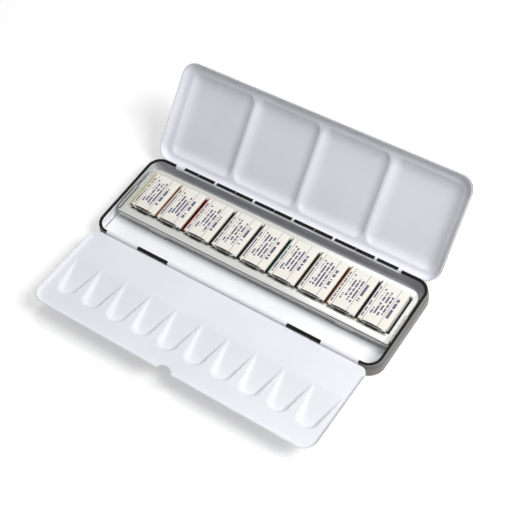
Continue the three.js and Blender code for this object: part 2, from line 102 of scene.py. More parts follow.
class TraySizes(bpy.types.PropertyGroup):
    """Sizes of the base tray and of both hinges."""

    length: length("Rim length", "Outside length over the rolled rim", 230)
    depth: length("Rim depth", "Outside depth over the rolled rim", 74.4)
    height: length("Rim height", "Height of the rim above the underside", 13.2)
    corner: length("Corner radius", "Outside radius of the rim's corners", 10.5)
    bead: length("Bead", "Thickness of the rolled rim", 2.2)
    sheet: length("Sheet", "Thickness of the pressed sheet", 0.6)
    foot: length("Foot radius", "Radius between the underside and the wall", 1.4)
    step: length("Shoulder step", "How far the lower wall stands proud", 0.6)
    shoulder: length("Shoulder height", "Height of the shoulder in the wall", 8.4)
    barrel: length("Barrel radius", "Outside radius of a rolled hinge barrel", 1.4)
    bore: length("Bore radius", "Inside radius of a rolled hinge barrel", 0.8)
    lid_barrel: length("Rear barrel radius", "Outside radius of a rear barrel", 1.8)
    notch: length("Notch height", "Wall height where a hinge takes the rim", 9.9)
    lip: length("Hinge lip", "Thickness of the lip along a rear hinge barrel", 0.28)
    sag: length("Rear barrel sag", "Rear barrels' middles below their pin", 1.2)
    light_from: angle("Lip start", "Start of a rear knuckle's light lip", -37)
    light_to: angle("Lip end", "End of a rear knuckle's light lip", 55)
    end_light: length("Light end", "Light ends where a knuckle meets a hook", 0.7)
    left_light: length("Left light end", "The same at the left end of the hinge", 7.4)
    right_light: length("Right light end", "The same at its right end", 2.8)
    dark_from: angle("Dark start", "Start of a front knuckle's black part", 50)
    dark_to: angle("Dark end", "End of a front knuckle's black part", 178)
    lid_inset: length("Lid pin inset", "Lid pin's place inside the rear face", 0.4)
    lid_shift: length("Lid hinge shift", "Lid hinge's middle along the box", -2.1)
    lid_pitch: length("Knuckle pitch", "One rear knuckle to the next", 33)
    lid_knuckle: length("Rear knuckle", "Length of a rear knuckle", 15)
    lid_end_hook: length("End hook", "Length of the lid's two end hooks", 19.6)
    gap: length("Hinge gap", "Gap between neighbouring knuckles", 0.4)
    flap_inset: length("Front pin inset", "Front pin's place inside the face", 0.9)
    flap_hinge: length("Front hinge", "Length of the front palette's hinge", 205)
    flap_knuckle: length("Front knuckle", "Length of a front knuckle", 25.4)
    flap_place: length("Front knuckle place", "Front knuckle to the middle", 61.7)
    lid_knuckles: count("Rear knuckles", "Number of rear knuckles", 5)


class LidSizes(bpy.types.PropertyGroup):
    """Sizes of the mixing lid."""

    length: length("Length", "Outside length of the lid", 231.2)
    reach: length("Reach", "Distance from the pin to the free edge", 74)
    corner: length("Corner radius", "Outside radius of the lid's corners", 10.5)
    rim: length("Rim", "Closed rim's height above the pin", 1.7)
    skirt: length("Skirt", "Depth from the rim to the land", 4.7)
    fillet: length("Fillet", "Radius between the skirt and the land", 3.4)
    well_depth: length("Well depth", "Depth of a mixing well", 2.8)
    well_slope: length("Well slope", "Width of the hollow slope round a well", 10)
    well_corner: length("Well corner", "Radius of a well's corners", 6.5)
    well_pitch: length("Well pitch", "One mixing well to the next", 55)
    front_land: length("Front land", "Flat land along the free edge", 6.2)
    rear_land: length("Rear land", "Flat land along the hinge", 5.2)
    ridge: length("Ridge", "Width of the ridge between two wells", 1.6)
    shift: length("Stamping shift", "Wells' distance off the middle", 0.8)
    hook_start: angle("Hook start", "Where a hook leaves the wall, closed", 95)
    hook_end: angle("Hook end", "Where a hook ends, closed", -205)
    white_from: angle("White from", "Start of a hook's white part", -13)
    white_to: angle("White to", "End of a hook's white part", -88)
    open_angle: angle("Open angle", "Lid's turn from closed", 135)
    wells: count("Wells", "Number of mixing wells", 4)


class FlapSizes(bpy.types.PropertyGroup):
    """Sizes of the front palette."""

    length: length("Length", "Outside length of the front palette", 225)
    reach: length("Reach", "Distance from the pin to the far edge", 71)
    corner: length("Corner radius", "Outside radius of the corners", 10)
    wall: length("Wall", "Height of the turned-up wall", 2.2)
    flare: length("Flare", "How far the wall leans outwards", 1.2)
    fillet: length("Fillet", "Radius between the sheet and the wall", 1.2)
    rear_corner: length("Rear corner radius", "Radius beside the hinge", 6.5)
    clear: length("Hinge clearance", "Gap between the barrel and the sheet", 0.1)
    wall_start: length("Wall start", "Distance from the pin to the walls", 7.7)
    thumb_radius: length("Thumb notch radius", "Radius of the thumb notch", 7)
    thumb_outset: length("Thumb notch outset", "Notch centre past the edge", 1.9)
    well_pitch: length("Well pitch", "One wash well to the next", 21.5)
    well_mouth: length("Well mouth", "Width at the shallow end", 21.2)
    well_neck: length("Well neck", "Width at the deep end", 15)
    well_start: length("Well start", "Pin to the wells' shallow end", 27)
    well_bend: length("Well bend", "Pin to the middle of the round end", 49.6)
    well_depth: length("Well depth", "Depth at the round end", 3)
    well_slope: length("Well slope", "Width of the slope at the deep end", 2.5)
    rest_angle: angle("Rest angle", "Rise of the open palette", 3)
    wells: count("Wells", "Number of wash wells", 10)


class HolderSizes(bpy.types.PropertyGroup):
    """Sizes of the pressed pan holder."""

    length: length("Length", "Outside length of the plate", 223.6)
    top: length("Top", "Height of the plate", 9)
    front: length("Front", "Front face's distance before the middle", 15.4)
    rear: length("Rear", "Rear face's distance behind the middle", 30)
    corner: length("Rear corner radius", "Radius of the rear corners", 8.5)
    front_corner: length("Front corner radius", "Radius of the front corners", 1.6)
    bend: length("Bend", "Radius of the bent edges", 0.9)
    flange: length("Flange", "Depth of the front and rear flanges", 5.6)
    end_flange: length("End flange", "Depth of the turned-down ends", 1.5)
    end_slope: length("End slope", "Width of the slope at each end", 2.4)
    end_flat: length("End flat", "Flat strip outside the slope", 2.2)
    end_drop: length("End drop", "How far the plate steps down there", 0.3)
    foot: length("Foot", "Length of a foot", 14.8)
    foot_place: length("Foot place", "Foot to the middle of the pan row", 76.7)
    side_play: length("Side play", "Gap beside the first and last pan", 0.6)
    end_play: length("End play", "Gap before and behind the pans", 0.3)
    lip: length("Lip", "Length of the lip beside each pan", 18.4)
    lip_drop: length("Lip depth", "Depth of a lip below the plate", 3.6)
    ear: length("Ear", "Length of an ear", 22)
    ear_inset: length("Ear inset", "Front face to the ear", 2.4)
    ear_reach: length("Ear reach", "Width of an ear", 2.2)
    ear_rise: length("Ear rise", "Height of an ear over the plate", 1.0)


class PanSizes(bpy.types.PropertyGroup):
    """Sizes of the wrapped pans."""

    width: length("Width", "Width over the wrapped cup", 20.4)
    length: length("Length", "Length over the wrapped cup", 30.6)
    label: length("Label width", "Width over the loose paper band", 21.5)
    label_shift: length("Label shift", "Band's place beside the cup's middle", -0.5)
    label_front: length("Label front", "Band's reach past the cup's front", 0.5)
    label_step: length("Label step", "More reach from one pan to the next", 0.16)
    label_bow: length("Label bow", "How far the band's front edge bows in", 0.8)
    label_rear: length("Label rear", "Band's reach past the cup's rear", 0.6)
    bulge: length("Foil bulge", "Front folds' reach past the cup", 2.6)
    bulge_foot: length("Foil foot", "Height of the front folds' underside", 9.2)
    height: length("Height", "Height over the paper band", 11.4)
    pitch: length("Pitch", "Distance from one pan to the next", 23.7)
    middle: length("Row place", "Row's distance behind the middle", 8)
    shift: length("Row shift", "Middle pan's distance to the right", 1.6)
    bottom: length("Bottom", "Height of the pans' undersides", 0.9)
    round: length("Band corner", "Radius of the paper's folds", 0.8)
    paper: length("Paper", "Thickness of the paper band", 0.15)
    crown: length("Crown", "Rise of the paper's top", 0.25)
    flap: length("Foil flap", "Depth of the foil's top flap", 7.4)
    fold_slope: FloatProperty(
        name="Fold slope", description="Fall of a fold from the corner", default=0.42
    )
    tuck: length("Foil tuck", "How far the end's side folds lie back", 0.7)
    count: count("Pans", "Number of pans", 9)


class Finishes(bpy.types.PropertyGroup):
    """Colours of the finishes."""

    white: tint("White enamel", "Top of the front palette", 0.852, 0.866, 0.912)
    # Tray white: the inside's white enamel set lighter than the palette's white, as painted light on
    # the shaded trough
    lit_tray_white: tint("Tray white", "Inside of the tray", 0.95, 0.958, 0.98)
    lid_white: tint("Lid white", "Inside of the lid", 0.828, 0.843, 0.892)
    black: tint("Black enamel", "Outside of the lid", 0.03, 0.029, 0.026)
    # Side enamel: the tray's black outer enamel lightened to grey as painted reflection of the pale
    # floor
    side: tint("Side enamel", "Outside of the tray", 0.19, 0.185, 0.17)
    # Collar enamel: the same outer enamel kept darker above the shoulder as painted shade
    collar: tint("Collar enamel", "Tray's wall above the shoulder", 0.16, 0.157, 0.147)
    # Wall enamel: the tray's white enamel darkened as painted shade on the rear inner wall, which
    # faces away from the key lamp
    wall: tint("Wall enamel", "Inside of the tray's rear wall", 0.64, 0.64, 0.69)
    rim: tint("Rim enamel", "Rolled rim and hinge barrels", 0.008, 0.007, 0.006)
    holder: tint("Holder enamel", "Pan holder", 0.66, 0.667, 0.635)
    steel: tint("Pin steel", "Hinge pins", 0.12, 0.12, 0.12)
    paper: tint("Label paper", "Pan labels", 0.90, 0.86, 0.79)
    ink: tint("Label ink", "Printing on the labels", 0.03, 0.04, 0.13)
    # Foil: the pans' foil darkened as painted shade and dark reflection on their ends
    foil: tint("Foil", "Pan foil", 0.05, 0.045, 0.04)
    # Foil fold: painted highlights along the foil's creases and edges
    fold: tint("Foil fold", "Creases and edges of the foil", 0.75, 0.74, 0.70)
    # Label side: paper down the pans' sides, darkened near black as painted shade in the narrow gaps
    # between pans
    shaded_side_paper: tint("Label side", "Paper down a pan's sides", 0.035, 0.025, 0.02)
    plastic: tint("Cup plastic", "Pan cups", 0.80, 0.80, 0.78)


class StageSizes(bpy.types.PropertyGroup):
    """Camera, floor and lamps."""

    lens: FloatProperty(name="Lens", description="Focal length, mm", default=78.886)
    floor: length("Floor", "Half the floor's width", 3000)
    distance: length("Lamp distance", "From the box to each lamp", 1000)
    key: FloatProperty(name="Key lamp", description="Power, watts", default=6.5)
    top: FloatProperty(name="Top lamp", description="Power, watts", default=1.7)
    sky: FloatProperty(name="Sky", description="Strength overhead", default=0.46)


# Meshes


def new_piece(name, bm, materials, sharp=math.radians(38)):
    """A finished object, smooth but for edges sharper than the angle given."""
    bm.normal_update()
    for face in bm.faces:
        face.smooth = True
    for edge in bm.edges:
        edge.smooth = len(edge.link_faces) == 2 and edge.calc_face_angle(0) < sharp
    mesh = bpy.data.meshes.new(name)
    bm.to_mesh(mesh)
    bm.free()
    for material in materials:
        mesh.materials.append(material)
    piece = bpy.data.objects.new(name, mesh)
    bpy.context.scene.collection.objects.link(piece)
    return piece


def lines(stops, spacing):
    """Grid lines through every stop, evenly spaced between them."""
    found = [stops[0]]
    for start, end in zip(stops, stops[1:]):
        steps = max(1, math.ceil((end - start) / spacing - 1e-6))
        found += [start + (end - start) * (i + 1) / steps for i in range(steps)]
    return found


def grid_on(bm, xs, ys):
    """A grid whose lines run through the given places."""
    columns, rows = len(xs) - 1, len(ys) - 1
    grid = bmesh.ops.create_grid(bm, x_segments=columns, y_segments=rows, size=1)
    for vert in grid["verts"]:
        column = round((vert.co.x + 1) / 2 * columns)
        row = round((vert.co.y + 1) / 2 * rows)
        vert.co = (xs[column], ys[row], 0)
    return grid["verts"]


def rounded(x, y, half, radius):
    """Moves a place in a rectangle so that the rectangle's corners turn round."""
    dx = (abs(x) - half[0] + radius) / radius
    dy = (abs(y) - half[1] + radius) / radius
    if dx <= 0 or dy <= 0:
        return x, y
    dx, dy = dx * math.sqrt(1 - dy * dy / 2), dy * math.sqrt(1 - dx * dx / 2)
    return (
        math.copysign(half[0] - radius + dx * radius, x),
        math.copysign(half[1] - radius + dy * radius, y),
    )


def outward(x, y, half, radius):
    """The outline's outward direction beside a rectangle with round corners."""
    cx = max(radius - half[0], min(half[0] - radius, x))
    cy = max(radius - half[1], min(half[1] - radius, y))
    return Vector((x - cx, y - cy)).normalized()


def arc(centre, radius, start, end, steps):
    """Points of an arc in a section, as outset and height."""
    turns = [math.radians(start + (end - start) * i / steps) for i in range(steps + 1)]
    return [(centre[0] + radius * math.cos(a), centre[1] + radius * math.sin(a)) for a in turns]


def curve(points, steps):
    """A smooth run through three points, bending towards the middle one."""
    a, b, c = points
    found = []
    for i in range(1, steps + 1):
        t = i / steps
        shares = ((1 - t) ** 2, 2 * t * (1 - t), t * t)
        found.append(tuple(shares[0] * a[k] + shares[1] * b[k] + shares[2] * c[k] for k in (0, 1)))
    return found


def faces_in(parts):
    """The faces among some parts of a mesh."""
    return [part for part in parts if isinstance(part, bmesh.types.BMFace)]


def verts_in(parts):
    """The vertices among some parts of a mesh."""
    return [part for part in parts if isinstance(part, bmesh.types.BMVert)]


def homes_of(edges):
    """The place of each vertex on some edges."""
    return {v: v.co.copy() for e in edges for v in e.verts}


def rim_of(faces):
    """The open edges round some faces, and the home place of each vertex on them."""
    edges = [e for f in faces for e in f.edges if e.is_boundary]
    return edges, homes_of(edges)


def clamp(value, high=1):
    """A value kept between 0 and another."""
    return max(0, min(high, value))


def paint(faces, index):
    """Gives some faces one of their piece's materials."""
    for face in faces:
        face.material_index = index


def mark(bands, layer, value):
    """Raises a vertex layer over some bands of faces."""
    for band in bands:
        for face in band:
            for vert in face.verts:
                vert[layer] = max(vert[layer], value)


def move_all(bm, offset):
    """Moves a whole mesh."""
    bmesh.ops.translate(bm, vec=offset, verts=bm.verts)


def carry(bm, edges, homes, section, place):
    """Extrudes open edges through a section. place gives each point from its home."""
    bands = []
    for step in section:
        made = bmesh.ops.extrude_edge_only(bm, edges=edges)["geom"]
        fresh = set(verts_in(made))
        found = [g for g in made if isinstance(g, bmesh.types.BMEdge)]
        edges = [e for e in found if all(v in fresh for v in e.verts)]
        bands.append(faces_in(made))
        links = {}
        for vert in fresh:
            near = [e.other_vert(vert) for e in vert.link_edges]
            links[vert] = homes[next(v for v in near if v in homes)]
        homes = links
        for vert, home in homes.items():
            vert.co = place(home, step)
    return edges, homes, bands


def lesser(a, b, soft):
    """The lesser of two values, with a rounded change between them."""
    h = max(soft - abs(a - b), 0) / soft
    return min(a, b) - h * h * soft / 4


def hollow(t):
    """From 0 to 1, steep just past a rounded lip and then flattening out."""
    lip = 0.06
    t = clamp(t)
    if t < lip:
        t = t * t / (2 * lip)
    else:
        t -= lip / 2
    return 1 - (1 - t / (1 - lip / 2)) ** 3


def depth_in(x, y, half, radius):
    """How far a place lies inside a rectangle with round corners."""
    qx, qy = abs(x) - half[0] + radius, abs(y) - half[1] + radius
    return radius - math.hypot(max(qx, 0), max(qy, 0)) - min(max(qx, qy), 0)


def rolled(bm, span, radii, turn, steps):
    """A strip of sheet rolled round the X axis from one angle to another."""
    outer, inner = radii
    first, last = turn
    part = bmesh.new()
    spots = ((span[0], inner), (span[1], inner), (span[1], outer), (span[0], outer))
    corners = [part.verts.new((x, r * math.cos(first), r * math.sin(first))) for x, r in spots]
    face = part.faces.new(corners)
    full = abs(abs(last - first) - TURN) < 1e-6
    bmesh.ops.spin(
        part,
        geom=[face, *face.edges, *corners],
        cent=(0, 0, 0),
        axis=(1, 0, 0),
        angle=last - first,
        steps=steps,
        use_merge=full,
    )
    if full:
        walls = [f for f in part.faces if all(len(e.link_faces) > 2 for e in f.edges)]
        bmesh.ops.delete(part, geom=walls, context="FACES_ONLY")
    bmesh.ops.recalc_face_normals(part, faces=part.faces)
    paint(part.faces, NEW_FACE)
    strip = bpy.data.meshes.new("Rolled strip")
    part.to_mesh(strip)
    part.free()
    bm.from_mesh(strip)
    bpy.data.meshes.remove(strip)
    faces = [f for f in bm.faces if f.material_index == NEW_FACE]
    paint(faces, 0)
    return faces


def move_faces(bm, faces, offset):
    """Moves some faces."""
    verts = list({v for f in faces for v in f.verts})
    bmesh.ops.translate(bm, vec=offset, verts=verts)


def box_between(bm, low, high):
    """A plain block between two corners, as one part of a larger piece."""
    before = set(bm.faces)
    verts = bmesh.ops.create_cube(bm, size=1)["verts"]
    middle = (Vector(low) + Vector(high)) / 2
    bmesh.ops.scale(bm, vec=Vector(high) - Vector(low), verts=verts)
    bmesh.ops.translate(bm, vec=middle, verts=verts)
    faces = [f for f in bm.faces if f not in before]
    for face in faces:
        face.normal_update()
    return faces


# Materials


def cleared(material):
    """A material's node tree with a fresh shader and output."""
    material.use_nodes = True
    tree = material.node_tree
    tree.nodes.clear()
    shader = tree.nodes.new("ShaderNodeBsdfPrincipled")
    output = tree.nodes.new("ShaderNodeOutputMaterial")
    tree.links.new(shader.outputs["BSDF"], output.inputs["Surface"])
    return tree, shader


def give(node, **values):
    """Gives a node's named sockets their values."""
    for key, value in values.items():
        node.inputs[key.replace("_", " ")].default_value = value


def add(tree, kind, settings=None, **values):
    """A shader node with its settings and the values of its named sockets."""
    made = tree.nodes.new(kind)
    for key, value in (settings or {}).items():
        setattr(made, key, value)
    give(made, **values)
    return made


def noise(tree, place, scale, detail):
    """A soft noise on some coordinates."""
    made = add(tree, "ShaderNodeTexNoise", Scale=scale, Detail=detail)
    tree.links.new(place, made.inputs["Vector"])
    return made.outputs["Fac"]


def bump_on(tree, height, normal, strength, distance=0.0001):
    """Feeds a normal socket with the bumps of a height."""
    made = add(tree, "ShaderNodeBump", Distance=distance)
    if isinstance(strength, float):
        give(made, Strength=strength)
    else:
        tree.links.new(strength, made.inputs["Strength"])
    tree.links.new(height, made.inputs["Height"])
    tree.links.new(made.outputs["Normal"], normal)


def own_place(tree):
    """The object's own coordinates."""
    return tree.nodes.new("ShaderNodeTexCoord").outputs["Object"]


def sum_of(tree, operation, *terms, clamp=False):
    """A Math node on links and numbers."""
    made = tree.nodes.new("ShaderNodeMath")
    made.operation = operation
    made.use_clamp = clamp
    for socket, term in zip(made.inputs, terms):
        if isinstance(term, (int, float)):
            socket.default_value = term
        else:
            tree.links.new(term, socket)
    return made.outputs[0]


def blend(tree, share, first, second, kind="MIX"):
    """A colour between two, each a link or a plain colour."""
    made = tree.nodes.new("ShaderNodeMix")
    made.data_type = "RGBA"
    made.blend_type = kind
    for socket, term in ((0, share), (6, first), (7, second)):
        if isinstance(term, bpy.types.NodeSocket):
            tree.links.new(term, made.inputs[socket])
        else:
            made.inputs[socket].default_value = term
    return made.outputs[2]


def grey_of(tree, value):
    """A grey made from a value."""
    grey = tree.nodes.new("ShaderNodeCombineColor")
    for socket in grey.inputs:
        tree.links.new(value, socket)
    return grey.outputs[0]


def new_group(name, inputs, outputs):
    """An empty node group with named inputs and outputs, and its two ends."""
    tree = bpy.data.node_groups.new(name, "ShaderNodeTree")
    kinds = {"colour": "NodeSocketColor", "value": "NodeSocketFloat", "vector": "NodeSocketVector"}
    for label, kind, start in inputs:
        socket = tree.interface.new_socket(name=label, in_out="INPUT", socket_type=kinds[kind])
        socket.default_value = start
    for label, kind in outputs:
        tree.interface.new_socket(name=label, in_out="OUTPUT", socket_type=kinds[kind])
    inside = tree.nodes.new("NodeGroupInput")
    outside = tree.nodes.new("NodeGroupOutput")
    return tree, inside.outputs, outside.inputs


def enamel_group():
    """Sprayed enamel: a faint ripple, slow changes of shade and a few specks."""
    name = "Enamel Surface"
    if name in bpy.data.node_groups:
        return bpy.data.node_groups[name]
    tree, given, result = new_group(
        name,
        [
            ("Colour", "colour", (0.8, 0.8, 0.8, 1)),
            ("Speck Colour", "colour", (0.3, 0.3, 0.3, 1)),
            ("Speck Size", "value", 0.0),
            ("Shade Change", "value", 0.03),
            ("Ripple", "value", 0.05),
            ("Roughness", "value", 0.3),
        ],
        [("Colour", "colour"), ("Roughness", "value"), ("Normal", "vector")],
    )
    place = own_place(tree)
    slow = noise(tree, place, 38.0, 3.0)
    fine = noise(tree, place, 700.0, 2.0)
    specks = add(tree, "ShaderNodeTexVoronoi", Scale=190.0)
    tree.links.new(place, specks.inputs["Vector"])
    swing = sum_of(tree, "MULTIPLY_ADD", slow, 4, -1.5, clamp=True)
    drop = sum_of(tree, "MULTIPLY", swing, given["Shade Change"])
    grey = grey_of(tree, sum_of(tree, "SUBTRACT", 1, drop))
    shaded = blend(tree, 1.0, given["Colour"], grey, "MULTIPLY")
    dots = sum_of(tree, "LESS_THAN", specks.outputs["Distance"], given["Speck Size"])
    tree.links.new(blend(tree, dots, shaded, given["Speck Colour"]), result["Colour"])
    rough = sum_of(tree, "MULTIPLY_ADD", slow, 0.08, given["Roughness"])
    tree.links.new(rough, result["Roughness"])
    bump_on(tree, fine, result["Normal"], given["Ripple"])
    return tree


def enamel(
    name, colour, rough=0.42, change=0.03, ripple=0.15, speck=0.0, coat=0.1, gloss=0.4, edge_shade=None,
):
    """An enamelled sheet metal surface, darkened as painted shade where the piece's vertex attribute
    for edge shade says.
    """
    material = bpy.data.materials.new(name)
    tree, shader = cleared(material)
    surface = add(
        tree,
        "ShaderNodeGroup",
        {"node_tree": enamel_group()},
        Colour=(*colour, 1),
        Speck_Colour=(*(c * 0.62 for c in colour), 1),
        Speck_Size=speck,
        Shade_Change=change,
        Ripple=ripple,
        Roughness=rough,
    )
    tone = surface.outputs["Colour"]
    if edge_shade:
        shade_share = add(tree, "ShaderNodeAttribute", {"attribute_name": "Worn"})
        tone = blend(tree, shade_share.outputs["Fac"], tone, (*edge_shade, 1))
    tree.links.new(tone, shader.inputs["Base Color"])
    tree.links.new(surface.outputs["Roughness"], shader.inputs["Roughness"])
    tree.links.new(surface.outputs["Normal"], shader.inputs["Normal"])
    give(shader, Coat_Weight=coat, Coat_Roughness=0.15, Specular_IOR_Level=gloss)
    return material


def black_rim(name, colour):
    """The deep black of the rolled rim and the hinge barrels, also used as painted shade in the lid's
    hook curls and at the foot of the tray's end walls.
    """
    return enamel(name, colour, rough=0.6, change=0.3, coat=0.0, gloss=0.15)


def drawn_steel(name, colour):
    """Drawn wire with fine lines along it."""
    material = bpy.data.materials.new(name)
    tree, shader = cleared(material)
    stretch = add(tree, "ShaderNodeMapping", Scale=(40.0, 2500.0, 2500.0))
    tree.links.new(own_place(tree), stretch.inputs["Vector"])
    grain = noise(tree, stretch.outputs[0], 1.0, 2.0)
    rough = sum_of(tree, "MULTIPLY_ADD", grain, 0.25, 0.25)
    tree.links.new(rough, shader.inputs["Roughness"])
    bump_on(tree, grain, shader.inputs["Normal"], 0.15, 0.00005)
    give(shader, Base_Color=(*colour, 1), Metallic=1)
    return material


def foil_metal(name, colour, fold):
    """Thin crumpled foil, dark as painted shade and dark reflection, made bright as painted
    highlights where the piece's crease attribute says.
    """
    material = bpy.data.materials.new(name)
    tree, shader = cleared(material)
    place = own_place(tree)
    creases = add(tree, "ShaderNodeTexVoronoi", {"feature": "DISTANCE_TO_EDGE"}, Scale=420.0)
    tree.links.new(place, creases.inputs["Vector"])
    crumple = noise(tree, place, 650.0, 3.0)
    height = sum_of(tree, "ADD", creases.outputs["Distance"], crumple)
    bump_on(tree, height, shader.inputs["Normal"], 0.55, 0.0003)
    dark = (*(c * 0.35 for c in colour), 1)
    tone = blend(tree, crumple, dark, (*colour, 1))
    crease_highlight = add(tree, "ShaderNodeAttribute", {"attribute_name": "Crease"})
    bright = sum_of(tree, "MULTIPLY_ADD", crumple, 0.7, crease_highlight.outputs["Fac"])
    share = sum_of(tree, "MULTIPLY_ADD", bright, 1.6, -1.0, clamp=True)
    tree.links.new(blend(tree, share, tone, (*fold, 1)), shader.inputs["Base Color"])
    give(shader, Metallic=0.9, Roughness=0.4)
    return material


def moulded_plastic(name, colour, grain=0.0):
    """Moulded plastic with a faint grain, or dry cake paint with a coarser one."""
    material = bpy.data.materials.new(name)
    tree, shader = cleared(material)
    place = own_place(tree)
    low = (*(c * (0.92 - 0.3 * grain) for c in colour), 1)
    tone = blend(tree, noise(tree, place, 220.0, 4.0), low, (*colour, 1))
    tree.links.new(tone, shader.inputs["Base Color"])
    fine = noise(tree, place, 1500.0, 3.0)
    bump_on(tree, fine, shader.inputs["Normal"], 0.1 + 0.5 * grain)
    give(shader, Roughness=0.4 + 0.3 * grain)
    return material


def between(tree, value, low, high):
    """A mask that is 1 where a value lies between two numbers."""
    return sum_of(tree, "COMPARE", value, (low + high) / 2, (high - low) / 2)


def either(tree, *masks):
    """The greatest of several masks."""
    found = masks[0]
    for mask in masks[1:]:
        found = sum_of(tree, "MAXIMUM", found, mask)
    return found


def both(tree, *masks):
    """The product of several masks."""
    found = masks[0]
    for mask in masks[1:]:
        found = sum_of(tree, "MULTIPLY", found, mask)
    return found


def dashes(tree, across, along, size, share, seed):
    """A row of short strokes of uneven length along a line of print."""
    cell = sum_of(tree, "FLOOR", sum_of(tree, "DIVIDE", along, size))
    point = tree.nodes.new("ShaderNodeCombineXYZ")
    tree.links.new(cell, point.inputs[0])
    if isinstance(across, (int, float)):
        point.inputs[1].default_value = across
    else:
        tree.links.new(across, point.inputs[1])
    tree.links.new(seed, point.inputs[2])
    chance = tree.nodes.new("ShaderNodeTexWhiteNoise")
    tree.links.new(point.outputs[0], chance.inputs["Vector"])
    return sum_of(tree, "GREATER_THAN", chance.outputs["Value"], 1 - share)


# Lines of plain strokes on a label: their reach along U and V, and each stroke's size and share
STROKES = (
    ((1.9, 2.95), (-13.5, 11.5), 0.7, 0.85),
    ((6.0, 6.5), (2.5, 8.5), 0.6, 0.7),
    ((5.7, 6.9), (-9.5, -4.5), 0.8, 0.8),
    ((16.5, 18.4), (-8.2, 8.0), 0.9, 0.75),
)
RULES = ((1.05, 1.18), (4.0, 4.3), (15.2, 15.5))


def label_group():
    """Label printing laid out along U and V in millimetres: rules and plain strokes."""
    name = "Label Print"
    if name in bpy.data.node_groups:
        return bpy.data.node_groups[name]
    tree, given, result = new_group(
        name,
        [
            ("Paper", "colour", (0.8, 0.8, 0.7, 1)),
            ("Ink", "colour", (0, 0, 0.1, 1)),
            ("Stripe", "colour", (0.8, 0.6, 0, 1)),
            ("Side", "colour", (0.1, 0.1, 0.1, 1)),
            ("Number", "value", 1.0),
        ],
        [("Colour", "colour")],
    )
    spread = tree.nodes.new("ShaderNodeUVMap")
    parts = tree.nodes.new("ShaderNodeSeparateXYZ")
    tree.links.new(spread.outputs[0], parts.inputs[0])
    u, v = parts.outputs[0], parts.outputs[1]
    seed = given["Number"]
    masks = [between(tree, u, *rule) for rule in RULES]
    for line, (us, vs, size, share) in enumerate(STROKES, 1):
        strokes = dashes(tree, line, v, size, share, seed)
        masks.append(both(tree, between(tree, u, *us), strokes, between(tree, v, *vs)))
    masks.append(both(tree, between(tree, u, 5.7, 6.9), between(tree, v, 9.8, 11.2)))
    step = sum_of(tree, "DIVIDE", sum_of(tree, "SUBTRACT", u, 7.4), 2.5)
    row = sum_of(tree, "FLOOR", step)
    part = sum_of(tree, "SUBTRACT", step, row)
    point = tree.nodes.new("ShaderNodeCombineXYZ")
    tree.links.new(row, point.inputs[0])
    tree.links.new(seed, point.inputs[1])
    ragged = tree.nodes.new("ShaderNodeTexWhiteNoise")
    tree.links.new(point.outputs[0], ragged.inputs["Vector"])
    reach = sum_of(tree, "MULTIPLY_ADD", ragged.outputs["Value"], 4.0, 7)
    lifted = sum_of(tree, "SUBTRACT", v, 0.3)
    rows = both(
        tree,
        between(tree, part, 0.18, 0.72),
        dashes(tree, row, v, 0.7, 0.82, seed),
        between(tree, u, 7.4, 14.8),
        sum_of(tree, "LESS_THAN", sum_of(tree, "ABSOLUTE", lifted), reach),
    )
    inked = either(tree, *masks, rows)
    fleck = noise(tree, spread.outputs[0], 1.6, 3.0)
    tone = sum_of(tree, "MULTIPLY_ADD", fleck, 0.16, 0.9)
    paper = blend(tree, 1.0, given["Paper"], grey_of(tree, tone), "MULTIPLY")
    striped = blend(tree, between(tree, u, -1.6, 1.15), paper, given["Stripe"])
    share = sum_of(tree, "MULTIPLY", inked, 0.92)
    printed = blend(tree, share, striped, given["Ink"])
    # Painted shade: the band takes the side colour a little way down the pan's right side and below
    # the stripe on its left, where the gaps between pans lie in shade
    right = sum_of(tree, "MULTIPLY_ADD", u, 1.4, -32.5, clamp=True)
    left = sum_of(tree, "LESS_THAN", u, -1.6)
    tone = blend(tree, either(tree, right, left), printed, given["Side"])
    tree.links.new(tone, result["Colour"])
    return tree


def label_paper(name, finish, stripe, number):
    """Printed label paper."""
    material = bpy.data.materials.new(name)
    tree, shader = cleared(material)
    surface = add(
        tree,
        "ShaderNodeGroup",
        {"node_tree": label_group()},
        Paper=(*finish.paper, 1),
        Ink=(*finish.ink, 1),
        Stripe=(*stripe, 1),
        Side=(*finish.shaded_side_paper, 1),
        Number=float(number),
    )
    tree.links.new(surface.outputs["Colour"], shader.inputs["Base Color"])
    fibre = noise(tree, own_place(tree), 900.0, 3.0)
    bump_on(tree, fibre, shader.inputs["Normal"], 0.12)
    give(shader, Roughness=0.55)
    return material


# Places


def places_at(middles, size):
    """The start and the end of things of one size, from their middles."""
    return [(m - size / 2, m + size / 2) for m in middles]


def runs_between(knuckles, gap, start, end):
    """The places left between the knuckles of a hinge, and outside them."""
    starts = [start, *(k[1] + gap for k in knuckles)]
    ends = [*(k[0] - gap for k in knuckles), end]
    return list(zip(starts, ends))


def hinge_runs(tray):
    """Where each rear knuckle lies along X, and each hook of the lid beside it."""
    first = tray.lid_shift - (tray.lid_knuckles - 1) / 2 * tray.lid_pitch
    middles = [first + i * tray.lid_pitch for i in range(tray.lid_knuckles)]
    knuckles = places_at(middles, tray.lid_knuckle)
    start = knuckles[0][0] - tray.gap - tray.lid_end_hook
    end = knuckles[-1][1] + tray.gap + tray.lid_end_hook
    return knuckles, runs_between(knuckles, tray.gap, start, end)


def flap_runs(tray):
    """The same for the front hinge and its palette."""
    knuckles = places_at((-tray.flap_place, tray.flap_place), tray.flap_knuckle)
    end = tray.flap_hinge / 2
    return knuckles, runs_between(knuckles, tray.gap, -end, end)


